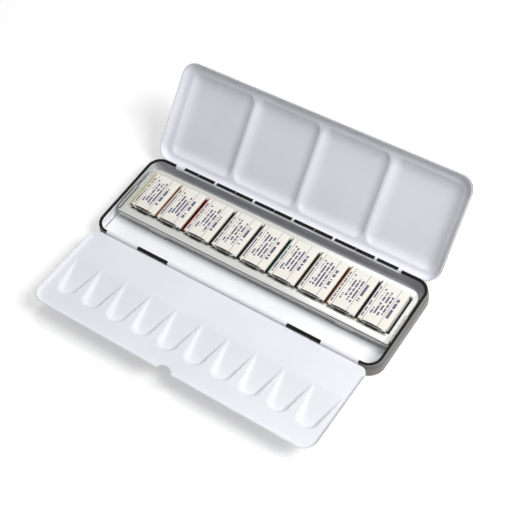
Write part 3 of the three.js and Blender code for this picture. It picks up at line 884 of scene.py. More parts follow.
def pin_axes(tray):
    """Places of the lid's pin and of the front palette's pin."""
    height = tray.height - tray.bead / 2
    return (
        Vector((0, tray.depth / 2 - tray.lid_inset, height)),
        Vector((0, tray.flap_inset - tray.depth / 2, height)),
    )


def cell_of(x, first, pitch, number):
    """How far a place lies off the middle of the nearest of some even cells."""
    nearest = clamp(round((x - first) / pitch), number - 1)
    return x - first - nearest * pitch


def pan_places(pans):
    """The middle of each pan along X."""
    first = pans.shift - (pans.count - 1) / 2 * pans.pitch
    return [first + i * pans.pitch for i in range(pans.count)]


# Pieces


# Places of the tray's materials in its list
SIDE, WHITE, BLACK, SHADED_COLLAR, SHADED_REAR_WALL = range(5)


class PAINTBOX_OT_tray(bpy.types.Operator):
    """Adds the pressed base tray with its rolled rim and hinge knuckles"""

    bl_idname = "paintbox.tray"
    bl_label = "Base Tray"

    def execute(self, context):
        tray = context.scene.paintbox_tray
        finish = context.scene.paintbox_finish
        bm = bmesh.new()
        half = (tray.length / 2, tray.depth / 2)
        floor = 2 * MM
        spacing = 1.5 * MM
        hooks = hinge_runs(tray)[1]
        lid_ends = (hooks[0][0] - tray.gap, hooks[-1][1] + tray.gap)
        flap_end = tray.flap_hinge / 2 + tray.gap
        flat = (half[0] - floor, half[1] - floor)
        stops = [-flat[0], flat[0]]
        for ends in (lid_ends, (-flap_end, flap_end)):
            stops += [ends[0] - SPLIT, ends[0], ends[1], ends[1] + SPLIT]
        xs = lines(sorted(stops), spacing)
        ys = lines([-flat[1], flat[1]], spacing)
        for vert in grid_on(bm, xs, ys):
            x, y = rounded(vert.co.x, vert.co.y, flat, tray.corner - floor)
            vert.co = (x, y, 0)
        under = list(bm.faces)
        copy = bmesh.ops.duplicate(bm, geom=[*bm.verts, *bm.edges, *bm.faces])["geom"]
        inside = faces_in(copy)
        move_faces(bm, inside, (0, 0, tray.sheet))
        bmesh.ops.reverse_faces(bm, faces=under)
        bead, sheet, foot, step = tray.bead / 2, tray.sheet, tray.foot, tray.step
        axis = tray.height - bead
        ledge = tray.shoulder
        soft = 0.4 * MM
        outer = (
            arc((step - foot, foot), foot, -90, 0, 6)
            + curve([(step, ledge - 3 * soft), (step, ledge - soft), (step / 2, ledge)], 3)
            + curve([(step / 2, ledge), (0, ledge + soft), (0, ledge + 3 * soft)], 3)
            + arc((-bead, axis), bead, 0, 105, 6)
        )
        wall = step - sheet
        inner_foot = foot + sheet
        under_ledge = ledge - sheet
        turned = [(-sheet, ledge + soft), (-sheet, under_ledge), (wall, under_ledge - 2 * soft)]
        inner = (
            arc((-bead, axis), bead, 120, 293, 8)
            + curve(turned, 4)
            + arc((wall - inner_foot, sheet + inner_foot), inner_foot, 0, -90, 6)[:-1]
            + [(-floor, sheet)]
        )

        def place(home, point):
            """Round the wall and the rim, cut down where a hinge takes the rim."""
            outset, height, lining = point
            n = outward(home.x, home.y, half, tray.corner)
            at_lid = home.y > 0 and lid_ends[0] <= home.x <= lid_ends[1]
            at_flap = home.y < 0 and -flap_end <= home.x <= flap_end
            if (at_lid or at_flap) and abs(n.y) > STRAIGHT and height > tray.notch:
                outset, height = (-sheet if lining else 0), tray.notch
            reach = floor + outset
            return (home.x + n.x * reach, home.y + n.y * reach, height)

        edges, homes = rim_of(under)
        steps = [(*p, False) for p in outer]
        edges, homes, bands = carry(bm, edges, homes, steps, place)
        steps = [(*p, True) for p in inner]
        lining = carry(bm, edges, homes, steps, place)[2]
        # Bands of the wall where its enamel, the collar's painted shade and the black of the rim end
        collar_from, rim_from, rim_to = 10, 16, 4
        for part, index in (
            (bands[collar_from:rim_from], SHADED_COLLAR),
            (bands[rim_from:] + lining[:rim_to], BLACK),
            (lining[rim_to:], WHITE),
            ([inside], WHITE),
        ):
            for band in part:
                paint(band, index)
        # Painted shade: lining faces that face forwards, on the rear wall, take the darker wall
        # enamel
        rearward, endward = 0.6, 0.97
        holder_front = -16 * MM
        for band in lining[rim_to:]:
            for face in band:
                spot = face.calc_center_median()
                n = outward(spot.x, spot.y, half, tray.corner)
                if n.y > rearward:
                    face.material_index = SHADED_REAR_WALL
                # Painted shade: a black line in the crease at the foot of both end walls, before the
                # holder
                at_end = abs(n.x) > endward and spot.y < holder_front
                if band is lining[-3] and at_end:
                    face.material_index = BLACK
        bmesh.ops.remove_doubles(bm, verts=bm.verts, dist=SPLIT / 4)
        bmesh.ops.recalc_face_normals(bm, faces=bm.faces)
        lid_axis, flap_axis = pin_axes(tray)
        for start, end in hinge_runs(tray)[0]:
            self.rear_knuckle(bm, tray, start, end, lid_axis)
            self.strap(bm, tray, start, end, lid_axis, 1)
        for start, end in flap_runs(tray)[0]:
            faces = rolled(bm, (start, end), (tray.barrel, tray.bore), (0, TURN), BARREL_STEPS)
            for face in faces:
                spot = face.calc_center_median()
                dark = tray.dark_from < math.atan2(spot.z, spot.y) < tray.dark_to
                face.material_index = BLACK if dark else WHITE
            move_faces(bm, faces, flap_axis)
            self.strap(bm, tray, start, end, flap_axis, -1)
        piece = new_piece(
            "pressed_tray",
            bm,
            [
                enamel(
                    "Tray Side Enamel", finish.side, rough=0.3, change=0.1, coat=0.3
                ),
                enamel("Tray White Enamel", finish.lit_tray_white, speck=0.02),
                black_rim("Tray Rim Black", finish.rim),
                enamel(
                    "Tray Collar Enamel", finish.collar, rough=0.3, change=0.2, coat=0.2
                ),
                enamel("Tray Wall Enamel", finish.wall, speck=0.02),
            ],
        )
        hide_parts("base_tray")
        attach(piece, "base")
        return {"FINISHED"}

    def rear_knuckle(self, bm, tray, start, end, pin):
        """A rear barrel, black with a light lip along it and a light end."""
        radius = tray.lid_barrel
        light = end - tray.end_light
        faces = []
        for run in ((start, light), (light, end)):
            faces += rolled(bm, run, (radius, tray.bore), (0, TURN), BARREL_STEPS)
        for face in faces:
            spot = face.calc_center_median()
            turn = -math.atan2(spot.z, -spot.y)
            bare = tray.light_from < turn < tray.light_to or spot.x > light
            face.material_index = WHITE if bare else BLACK
        lip = (radius + tray.lip, radius - tray.sheet / 6)
        turn = (math.pi + tray.light_from, math.pi + tray.light_to)
        edge = rolled(bm, (start, end), lip, turn, LIP_STEPS)
        paint(edge, WHITE)
        move_faces(bm, faces + edge, pin - Vector((0, 0, tray.sag)))

    def strap(self, bm, tray, start, end, pin, side):
        """The sheet that joins a barrel to the wall below it."""
        face_y = side * tray.depth / 2
        ys = (face_y, face_y - side * tray.sheet)
        low = (start, min(ys), tray.notch - tray.sheet)
        high = (end, max(ys), pin.z - tray.bore)
        for face in box_between(bm, low, high):
            face.material_index = WHITE if face.normal.y * side < -0.5 else SIDE


class PAINTBOX_OT_lid(bpy.types.Operator):
    """Adds the mixing lid with its four wells and its hinge hooks"""

    bl_idname = "paintbox.lid"
    bl_label = "Mixing Lid"

    def execute(self, context):
        lid = context.scene.paintbox_lid
        tray = context.scene.paintbox_tray
        finish = context.scene.paintbox_finish
        bm = bmesh.new()
        sheet = tray.sheet
        half = (lid.length / 2, (lid.reach + sheet / 2) / 2)
        middle_y = sheet / 2 - half[1]
        inset = sheet + lid.fillet
        flat = (half[0] - inset, half[1] - inset)
        land = lid.rim + lid.skirt
        well_y = lid.reach - lid.front_land - lid.rear_land
        well_half = ((lid.well_pitch - lid.ridge) / 2, well_y / 2)
        well_middle = -lid.rear_land - well_y / 2 - middle_y
        first = lid.shift - (lid.wells - 1) / 2 * lid.well_pitch
        spacing = 0.8 * MM
        xs = lines([-flat[0], flat[0]], spacing)
        ys = lines([-flat[1], flat[1]], spacing)
        for vert in grid_on(bm, xs, ys):
            x, y = rounded(vert.co.x, vert.co.y, flat, lid.corner - inset)
            away = cell_of(x, first, lid.well_pitch, lid.wells)
            inside = depth_in(away, y - well_middle, well_half, lid.well_corner)
            rise = lid.well_depth * hollow(inside / lid.well_slope)
            vert.co = (x, y, land + rise)
        bmesh.ops.reverse_faces(bm, faces=bm.faces)
        edges, homes = rim_of(bm.faces)
        section = arc((-inset, land - lid.fillet), lid.fillet, 90, 0, 6)[1:]
        first_step = 1.2 * MM
        section += [(-sheet, land - lid.fillet - first_step), (-sheet, lid.rim)]

        def place(home, point):
            n = outward(home.x, home.y, half, lid.corner)
            reach = inset + point[0]
            return (home.x + n.x * reach, home.y + n.y * reach, point[1])

        carry(bm, edges, homes, section, place)
        bm.faces.ensure_lookup_table()
        bm.normal_update()
        inner = len(bm.faces)
        bmesh.ops.solidify(bm, geom=list(bm.faces), thickness=sheet)
        bm.faces.ensure_lookup_table()
        paint(bm.faces[inner : 2 * inner], 1)
        move_all(bm, (0, middle_y, 0))
        sag = Matrix.Rotation(lid.open_angle, 3, "X") @ Vector((0, 0, -tray.sag))
        hooks = hinge_runs(tray)[1]
        lip_to = math.radians(-60)
        for start, end in hooks:
            left = tray.left_light if start == hooks[0][0] else tray.end_light
            right = tray.right_light if end == hooks[-1][1] else SPLIT
            ends = (start + left, end - right)
            radii = (tray.lid_barrel, tray.bore)
            turns = (lid.hook_start, lid.hook_end)
            faces = []
            for run in ((start, ends[0]), ends, (ends[1], end)):
                faces += rolled(bm, run, radii, turns, HOOK_STEPS)
            # Painted shade: outside its white part each hook's curl is black, standing for its black
            # outer enamel together with the shade round the pin and in the gap behind the barrel
            for face in faces:
                spot = face.calc_center_median()
                turn = math.atan2(spot.z, spot.y)
                bare = lid.white_to < turn < lid.white_from
                bare = bare or not ends[0] < spot.x < ends[1]
                face.material_index = 0 if bare else 2
            lip = (tray.lid_barrel + tray.lip, tray.lid_barrel - sheet / 6)
            turns = (lid.white_from, lip_to)
            faces += rolled(bm, (start, end), lip, turns, LIP_STEPS)
            move_faces(bm, faces, sag)
            low = (start, -sheet / 2, tray.bore + sheet / 2)
            high = (end, sheet / 2, lid.rim + sheet)
            box_between(bm, low, high)
        axis = pin_axes(tray)[0]
        turn = Matrix.Rotation(-lid.open_angle, 4, "X")
        bmesh.ops.transform(bm, matrix=Matrix.Translation(axis) @ turn, verts=bm.verts)
        piece = new_piece(
            "mixing_lid",
            bm,
            [
                enamel("Lid White Enamel", finish.lid_white, speck=0.02),
                enamel(
                    "Lid Black Enamel",
                    finish.black,
                    rough=0.28,
                    change=0.25,
                    coat=1.0,
                    gloss=0.5,
                ),
                black_rim("Lid Hook Black", finish.rim),
            ],
        )
        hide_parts("lid_palette")
        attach(piece, "lid")
        return {"FINISHED"}


class PAINTBOX_OT_palette(bpy.types.Operator):
    """Adds the front palette with its ten wash wells and its thumb notch"""

    bl_idname = "paintbox.palette"
    bl_label = "Front Palette"

    def execute(self, context):
        flap = context.scene.paintbox_flap
        tray = context.scene.paintbox_tray
        shift = context.scene.paintbox_lid.shift
        finish = context.scene.paintbox_finish
        bm = bmesh.new()
        sheet = tray.sheet
        rear = tray.barrel + flap.clear
        half = (flap.length / 2, (flap.reach - rear) / 2)
        middle = rear + half[1]
        inset = sheet + flap.flare + flap.fillet
        flat = (half[0] - inset, half[1] - inset)
        runs = flap_runs(tray)[1]
        out, far = flap.thumb_radius, flap.thumb_outset
        notch = math.sqrt(out * out - far * far)
        stops = [-flat[0], flat[0], shift - notch, shift + notch]
        for start, end in runs:
            stops += [start - SPLIT, start, end, end + SPLIT]
        spacing = 0.75 * MM
        xs = lines(sorted(stops), spacing)
        start_y = middle - flap.wall_start
        ys = lines([-flat[1], start_y - SPLIT, start_y, flat[1]], spacing)
        first = shift - (flap.wells - 1) / 2 * flap.well_pitch
        floor_round = 0.9 * MM
        hinge_gap = 0.3 * MM

        def corner_at(y):
            """Radius of the corners at the rear or at the front."""
            return flap.rear_corner if y > 0 else flap.corner

        def cut(x):
            """How far out the sheet reaches beside the thumb notch."""
            away = abs(x - shift)
            if away >= notch:
                return flap.reach
            return flap.reach + far - math.sqrt(out * out - away * away)

        def well_floor(x, w):
            """How deep the wells lie below the sheet."""
            away = abs(cell_of(x, first, flap.well_pitch, flap.wells))
            run = (w - flap.well_start) / (flap.well_bend - flap.well_start)
            if run <= 0:
                return 0
            neck = flap.well_neck / 2
            if run < 1:
                wide = flap.well_mouth / 2
                inside = wide + (neck - wide) * run - away
            else:
                inside = neck - math.hypot(away, w - flap.well_bend)
            steep = flap.well_depth / flap.well_slope
            fall = flap.well_depth * min(run, 1)
            return max(0, lesser(fall, steep * inside, floor_round))

        for vert in grid_on(bm, xs, ys):
            x, y = rounded(vert.co.x, vert.co.y, flat, corner_at(vert.co.y) - inset)
            w = min(middle - y, cut(x))
            vert.co = (x, middle - w, -well_floor(x, w))
        edges, homes = rim_of(bm.faces)
        knee = (0.85 * flap.fillet - inset, 0)
        turned = (-sheet - 0.6 * flap.flare, 0.42 * flap.wall)
        section = curve([(-inset, 0), knee, turned], 5)
        section += [(-sheet - 0.3 * flap.flare, 0.7 * flap.wall), (-sheet, flap.wall)]

        def wall_height(outset):
            """Height of the wall's inside at an outset."""
            known = [(-inset, 0), *section]
            for (o0, h0), (o1, h1) in zip(known, known[1:]):
                if outset <= o1:
                    return max(0, h0 + (h1 - h0) * (outset - o0) / (o1 - o0))
            return flap.wall

        def place(home, point):
            outset, height = point
            n = outward(home.x, home.y, half, corner_at(home.y))
            across = along = inset + outset
            if home.y > start_y - SPLIT / 2:
                across *= (inset - flap.flare) / (inset - sheet)
                along *= inset / (inset - sheet)
                height = 0
            x, y = home.x + n.x * across, home.y + n.y * along
            in_run = any(a <= home.x <= b for a, b in runs)
            if home.y > flat[1] - SPLIT and n.y > STRAIGHT and in_run:
                share = (inset + outset) / (inset - sheet)
                y = home.y + (middle - hinge_gap - home.y) * share
            w = middle - y
            if w > cut(x):
                w = cut(x)
                height = wall_height(w - flap.reach)
            return (x, middle - w, height)

        carry(bm, edges, homes, section, place)
        bmesh.ops.remove_doubles(bm, verts=bm.verts, dist=SPLIT / 4)
        bm.normal_update()
        bmesh.ops.solidify(bm, geom=list(bm.faces), thickness=sheet)
        move_all(bm, (0, -middle, sheet - tray.barrel))
        for run in runs:
            rolled(bm, run, (tray.barrel, tray.bore), (0, TURN), BARREL_STEPS)
        axis = pin_axes(tray)[1]
        turn = Matrix.Rotation(-flap.rest_angle, 4, "X")
        bmesh.ops.transform(bm, matrix=Matrix.Translation(axis) @ turn, verts=bm.verts)
        piece = new_piece(
            "wash_palette",
            bm,
            [enamel("Palette White Enamel", finish.white, speck=0.02, coat=0.0, gloss=0.3)],
        )
        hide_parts("flap_palette")
        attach(piece, "flap")
        return {"FINISHED"}


class PAINTBOX_OT_holder(bpy.types.Operator):
    """Adds the pressed pan holder with its lips, feet and ears, and finishes the pins"""

    bl_idname = "paintbox.holder"
    bl_label = "Pan Holder and Pins"

    def execute(self, context):
        finish = context.scene.paintbox_finish
        holder = context.scene.paintbox_holder
        pans = context.scene.paintbox_pans
        bm = bmesh.new()
        # Painted shade: a vertex attribute darkens the enamel in dark lines along bends, gaps and
        # lower edges
        edge_shade = bm.verts.layers.float.new("Worn")
        self.plate(bm, edge_shade, holder, pans)
        self.ears(bm, edge_shade, holder)
        bm.normal_update()
        sheet = context.scene.paintbox_tray.sheet
        bmesh.ops.solidify(bm, geom=list(bm.faces), thickness=sheet)
        # A fold at the opening's front right corner makes the step above throw three vertices out.
        # The two over the plate are drawn back, only part of the way. The third stays where it is
        inboard = holder.length / 2 - holder.ear_reach - holder.bend
        for vert in bm.verts:
            if vert.co.z > sheet / 2 and abs(vert.co.x) < inboard:
                near = [edge.other_vert(vert).co for edge in vert.link_edges]
                vert.co = sum(near, Vector()) / len(near)
        move_all(bm, (0, (holder.rear - holder.front) / 2, holder.top))
        white = enamel(
            "Holder Enamel",
            finish.holder,
            rough=0.24,
            speck=0.015,
            coat=1.0,
            gloss=0.6,
            # The colour of the painted shade lines, 0.12 of the enamel's colour
            edge_shade=tuple(c * 0.12 for c in finish.holder),
        )
        piece = new_piece("pressed_holder", bm, [white])
        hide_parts("pan_holder")
        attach(piece, "holder")
        steel = drawn_steel("Pin Steel", finish.steel)
        for name in ("lid_hinge_pin", "flap_hinge_pin"):
            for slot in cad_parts[name].material_slots:
                slot.material = steel
        return {"FINISHED"}

    def plate(self, bm, edge_shade, holder, pans):
        """The plate with its opening, lips, flanges and feet, with its top at height 0."""
        half = (holder.length / 2, (holder.rear + holder.front) / 2)
        middle = (holder.rear - holder.front) / 2
        bend = holder.bend
        flat = (half[0] - bend, half[1] - bend)
        middles = pan_places(pans)
        row = pans.middle - middle
        wide, deep = pans.width / 2 + holder.side_play, pans.length / 2 + holder.end_play
        hole = ((middles[0] - wide, row - deep), (middles[-1] + wide, row + deep))
        lips = places_at(middles, holder.lip)
        place = holder.foot_place
        feet = places_at((pans.shift - place, pans.shift + place), holder.foot)
        step = half[0] - holder.end_flat
        slope = step - holder.end_slope
        slant = 0.25 * MM
        flanged = 0.95
        turned_in = 0.1 * MM
        stops = [-flat[0], -step, -slope, slope, step, flat[0]]
        stops += [hole[0][0] - bend, hole[1][0] + bend]
        for start, end in lips + feet:
            stops += [start - slant, start, end, end + slant]
        stops = sorted(stops)
        stops = [a for a, b in zip(stops, [*stops[1:], 1]) if b - a > slant / 2]
        spacing = 1.3 * MM
        xs = lines(stops, spacing)
        rows = (-flat[1], hole[0][1] - bend, hole[1][1] + bend, flat[1])
        ys = lines(rows, spacing)
        for vert in grid_on(bm, xs, ys):
            home = vert.co.copy()
            round_to = holder.corner if home.y > 0 else holder.front_corner
            x, y = rounded(home.x, home.y, flat, round_to - bend)
            fall = clamp((abs(x) - slope) / holder.end_slope)
            fall = fall * fall * (3 - 2 * fall)
            vert.co = (x, y, -holder.end_drop * fall)

        def in_hole(spot, reach):
            """Whether a place lies in the opening, widened all round."""
            across = hole[0][0] - reach < spot.x < hole[1][0] + reach
            return across and hole[0][1] - reach < spot.y < hole[1][1] + reach

        inside = [f for f in bm.faces if in_hole(f.calc_center_median(), bend)]
        bmesh.ops.delete(bm, geom=inside, context="FACES")
        edges = rim_of(bm.faces)[0]
        inner = [e for e in edges if all(in_hole(v.co, bend + SPLIT) for v in e.verts)]
        chosen = set(inner)
        outer = [e for e in edges if e not in chosen]
        section = [(bend + o, h - bend) for o, h in arc((-bend, 0), bend, 90, 0, 5)[1:]]

        def edge_place(home, point):
            """Round the outside, down to the flanges and the feet."""
            round_to = holder.corner if home.y > 0 else holder.front_corner
            n = outward(home.x, home.y, half, round_to)
            x, y = home.x + n.x * point[0], home.y + n.y * point[0]
            drop = point[1]
            if drop < -bend - SPLIT:
                along = abs(n.y) > flanged
                standing = any(a <= home.x <= b for a, b in feet)
                full = holder.flange if along else holder.end_flange
                if along and standing:
                    full = holder.top - pans.bottom
                drop = -bend + (full - bend) * (drop + bend) / MM
                drop = min(drop, -bend)
            return (x, y, home.z + drop)

        run = section + [(bend, -bend - share * MM) for share in (0.06, 0.84, 1)]
        bands = carry(bm, outer, homes_of(outer), run, edge_place)[2]
        # Painted shade: dark lines along the bend round the plate's edge and along the flanges' lower
        # edge
        for band, shade_share in ((bands[2], 0.9), (bands[3], 1), (bands[-1], 1)):
            mark([band], edge_shade, shade_share)

        def lip_place(home, point):
            """Round the opening, down to the lips."""
            dx = (home.x < hole[0][0] + SPLIT) - (home.x > hole[1][0] - SPLIT)
            dy = (home.y < hole[0][1] + SPLIT) - (home.y > hole[1][1] - SPLIT)
            drop = point[1]
            if drop < -bend - SPLIT:
                lipped = dy and any(a <= home.x <= b for a, b in lips)
                drop = -bend - (holder.lip_drop - bend if lipped else turned_in)
            return (home.x + dx * point[0], home.y + dy * point[0], home.z + drop)

        carry(bm, inner, homes_of(inner), section + [(bend, -bend - MM)], lip_place)

    def ears(self, bm, edge_shade, holder):
        """The two ears at the plate's ends, each a strip on an upright wall."""
        half = holder.length / 2
        front = -(holder.rear + holder.front) / 2 + holder.ear_inset
        bend = droop = 0.35 * MM
        for side in (-1, 1):
            start = half - holder.end_flat + 0.7 * MM + bend
            end = half + 0.5 * MM
            xs = lines([start, end], 0.5 * MM)
            ys = lines([front, front + holder.ear], 1.5 * MM)
            verts = grid_on(bm, xs, ys)
            for vert in verts:
                away = (vert.co.x - start) / (end - start)
                rise = holder.ear_rise - droop * away * away
                vert.co = (side * vert.co.x, vert.co.y, rise)
                # Painted shade: the ear's outer end darkens in the gap beside the rim
                if vert.co.x * side > end - SPLIT:
                    vert[edge_shade] = 0.8
            faces = list({f for v in verts for f in v.link_faces})
            if side < 0:
                bmesh.ops.reverse_faces(bm, faces=faces)
            edges = rim_of(faces)[0]
            edges = [e for e in edges if all(abs(v.co.x) < start + SPLIT for v in e.verts)]
            homes = homes_of(edges)
            wall = [(o + bend, h - bend) for o, h in arc((-bend, 0), bend, 90, 0, 3)[1:]]
            wall.append((bend, -holder.ear_rise - holder.end_drop))

            def place(home, point):
                return (home.x - side * point[0], home.y, home.z + point[1])

            # Painted shade: the ear's upright wall is darkened
            mark(carry(bm, edges, homes, wall, place)[2], edge_shade, 1)


STRIPES = (
    (0.75, 0.55, 0.02),
    (0.55, 0.22, 0.08),
    (0.75, 0.05, 0.02),
    (0.10, 0.05, 0.05),
    (0.08, 0.09, 0.10),
    (0.02, 0.16, 0.12),
    (0.12, 0.15, 0.03),
    (0.45, 0.18, 0.08),
    (0.02, 0.02, 0.02),
)


# How far each pan stands off its place along the row, in millimetres
NUDGES = (0.1, -0.4, 0, 0, 0, -0.1, -0.3, -0.6, -1.2)


class PAINTBOX_OT_pans(bpy.types.Operator):
    """Adds the paper bands and folded foil of the pans, and finishes their insides"""

    bl_idname = "paintbox.pans"
    bl_label = "Wrapped Pans"

    def execute(self, context):
        pans = context.scene.paintbox_pans
        finish = context.scene.paintbox_finish
        foil = foil_metal("Pan Foil", finish.foil, finish.fold)
        plastic = moulded_plastic("Cup Plastic", finish.plastic)
        for number, middle in enumerate(pan_places(pans), 1):
            middle += NUDGES[(number - 1) % len(NUDGES)] * MM
            body = f"pan_{number}"
            stripe = STRIPES[(number - 1) % len(STRIPES)]
            paper = label_paper(f"Label {number}", finish, stripe, number)
            label = self.band(pans, middle, number, paper)
            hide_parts(f"{body}_label")
            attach(label, body)
            wrap = self.wrap(pans, middle, number, foil)
            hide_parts(f"{body}_foil")
            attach(wrap, body)
            cake = moulded_plastic(f"Cake {number}", stripe, grain=1.0)
            for part, material in (("cup", plastic), ("cake", cake)):
                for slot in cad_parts[f"{body}_{part}"].material_slots:
                    slot.material = material
        return {"FINISHED"}

    def wrap(self, pans, middle, number, foil):
        """The foil under the band, with the folds of a parcel at both ends."""
        half = (pans.width / 2 - pans.paper, pans.height / 2 - pans.paper)
        r = pans.round
        flat = (half[0] - r, half[1] - r)
        lean = 0.25 * math.sin(2.3 * number)
        bm = bmesh.new()
        crease_highlight = bm.verts.layers.float.new("Crease")
        top_lift, trough = 0.25 * MM, 0.2 * MM
        fold_width, highlight_reach = 0.7 * MM, 5 * MM
        xs = lines([-flat[0], flat[0]], 0.55 * MM)
        ys = lines([-flat[1], flat[1]], 0.5 * MM)
        for vert in grid_on(bm, xs, ys):
            x, y = vert.co.x, vert.co.y
            side = (half[0] - abs(x) + lean * x / 3) * pans.fold_slope
            top, under = half[1] - y, half[1] + y
            edge = top - pans.flap * (1 + lean * x / half[0] / 2)
            if edge < 0 and side > top:
                rise = top_lift - 0.5 * pans.tuck * min(1, side / top - 1)
            elif side > under:
                rise = -0.4 * pans.tuck
            else:
                rise = -pans.tuck * min(1, 2 * side / pans.fold_slope / half[1])
            folds = [abs(side - top) / 1.1, abs(side - under) / 1.1 + trough]
            if side > top:
                folds.append(abs(edge))
            # Painted highlight: the end's top flap lightens towards its top edge, and each crease is
            # lit
            top_highlight = max(0, 0.3 - top / highlight_reach) if side > top else 0
            vert[crease_highlight] = max(top_highlight, 1 - min(folds) / fold_width)
            vert.co.z = rise
        axes = {"use_axis_x": False, "use_axis_y": False, "use_axis_z": True}
        bmesh.ops.smooth_vert(bm, verts=bm.verts, factor=0.4, **axes)
        edges, homes = rim_of(bm.faces)
        middle_y = -pans.length / 2
        section = arc((-r, -r), r, 90, 0, 4)[1:]
        section += [(0, middle_y * share) for share in (0.2, 0.5, 1)]

        def place(home, point):
            dx = math.copysign(1, home.x) if abs(home.x) > flat[0] - SPLIT else 0
            dy = math.copysign(1, home.y) if abs(home.y) > flat[1] - SPLIT else 0
            n = Vector((dx, dy)).normalized()
            reach = r + point[0]
            return (home.x + n.x * reach, home.y + n.y * reach, point[1])

        bands = carry(bm, edges, homes, section, place)[2]
        # Painted highlight along the first band round the end
        mark(bands[:1], crease_highlight, 0.6)
        bmesh.ops.rotate(bm, matrix=Matrix.Rotation(math.pi / 2, 3, "X"), verts=bm.verts)
        move_all(bm, (0, middle_y, 0))
        copy = bmesh.ops.duplicate(bm, geom=[*bm.verts, *bm.edges, *bm.faces])["geom"]
        rear = verts_in(copy)
        bmesh.ops.rotate(bm, matrix=Matrix.Rotation(math.pi, 3, "Z"), verts=rear)
        self.swell(pans, bm.verts, number)
        bmesh.ops.remove_doubles(bm, verts=bm.verts, dist=SEAM)
        bmesh.ops.recalc_face_normals(bm, faces=bm.faces)
        move_all(bm, (middle, pans.middle, pans.bottom + pans.height / 2))
        return new_piece(f"pan_{number}_wrap", bm, [foil], sharp=math.radians(25))

    def swell(self, pans, verts, number):
        """Pushes the front folds out over the holder, furthest just above it."""
        inside_band = 0.1 * MM
        top_reach = pans.label_front + (number - 1) * pans.label_step - inside_band
        bulge = pans.bulge + (number - 1) * pans.label_step / 3
        foot = pans.bulge_foot - pans.bottom - pans.height / 2
        top = pans.height / 2
        for vert in verts:
            if vert.co.z < foot - SPLIT or vert.co.y > 0:
                continue
            up = (vert.co.z - foot) / (top - foot)
            low = clamp(up / 0.12)
            reach = math.sqrt(low * (2 - low)) * (bulge + (top_reach - bulge) * up)
            end = min(1, -vert.co.y / (pans.length / 2))
            vert.co.y -= reach * end**6

    def band(self, pans, middle, number, paper):
        """The printed paper band, drawn flat and folded round the pan."""
        half = (pans.label / 2, pans.height / 2)
        r = pans.round
        corner = math.pi / 2 * r
        flat = (pans.label - 2 * r, pans.height - 2 * r)
        runs = 2 * [flat[0], corner, flat[1], corner]
        around = sum(runs)
        us = [0]
        for i, run in enumerate(runs):
            us += lines([us[-1], us[-1] + run], 1.2 * MM if i % 2 == 0 else corner / 4)[1:]
        vs = lines([-pans.length / 2, pans.length / 2], 1.6 * MM)
        low = pans.bulge_foot - pans.bottom - half[1]
        loosen = 0.6 * MM
        bm = bmesh.new()
        uv = bm.loops.layers.uv.new("Print")
        verts = grid_on(bm, us, vs)
        for face in bm.faces:
            past = face.calc_center_median().x > around - corner - flat[1] / 2
            back = around if past else 0
            for loop in face.loops:
                spot = loop.vert.co
                loop[uv].uv = ((spot.x - back + r) / MM, spot.y / MM)
        for vert in verts:
            left = vert.co.x
            x, z, turn = r - half[0], half[1], 0
            for i, run in enumerate(runs):
                step = min(left, run)
                if i % 2 == 0:
                    x += step * math.cos(turn)
                    z -= step * math.sin(turn)
                else:
                    bend = step / r
                    x += r * (math.sin(turn + bend) - math.sin(turn))
                    z += r * (math.cos(turn + bend) - math.cos(turn))
                    turn += bend
                left -= step
                if left <= 0:
                    break
            full = max(0, 1 - (x / half[0]) ** 2)
            if z > half[1] - r:
                z += pans.crown * full
            y = vert.co.y
            share = clamp((z - low) / loosen)
            reach = pans.label_rear
            if y < 0:
                reach = pans.label_front + (number - 1) * pans.label_step
            if y < 0 and z > half[1] - r:
                reach -= pans.label_bow * full
            end = abs(y) / (pans.length / 2)
            y = math.copysign(abs(y) + reach * share * end**4, y)
            snug = 1 - (1 - pans.width / pans.label) * (1 - share)
            vert.co = (x * snug, y, z)
        bmesh.ops.remove_doubles(bm, verts=bm.verts, dist=SEAM)
        bmesh.ops.recalc_face_normals(bm, faces=bm.faces)
        bmesh.ops.solidify(bm, geom=list(bm.faces), thickness=pans.paper)
        move_all(bm, (middle + pans.label_shift, pans.middle, pans.bottom + half[1]))
        return new_piece(f"pan_{number}_band", bm, [paper], sharp=math.radians(60))


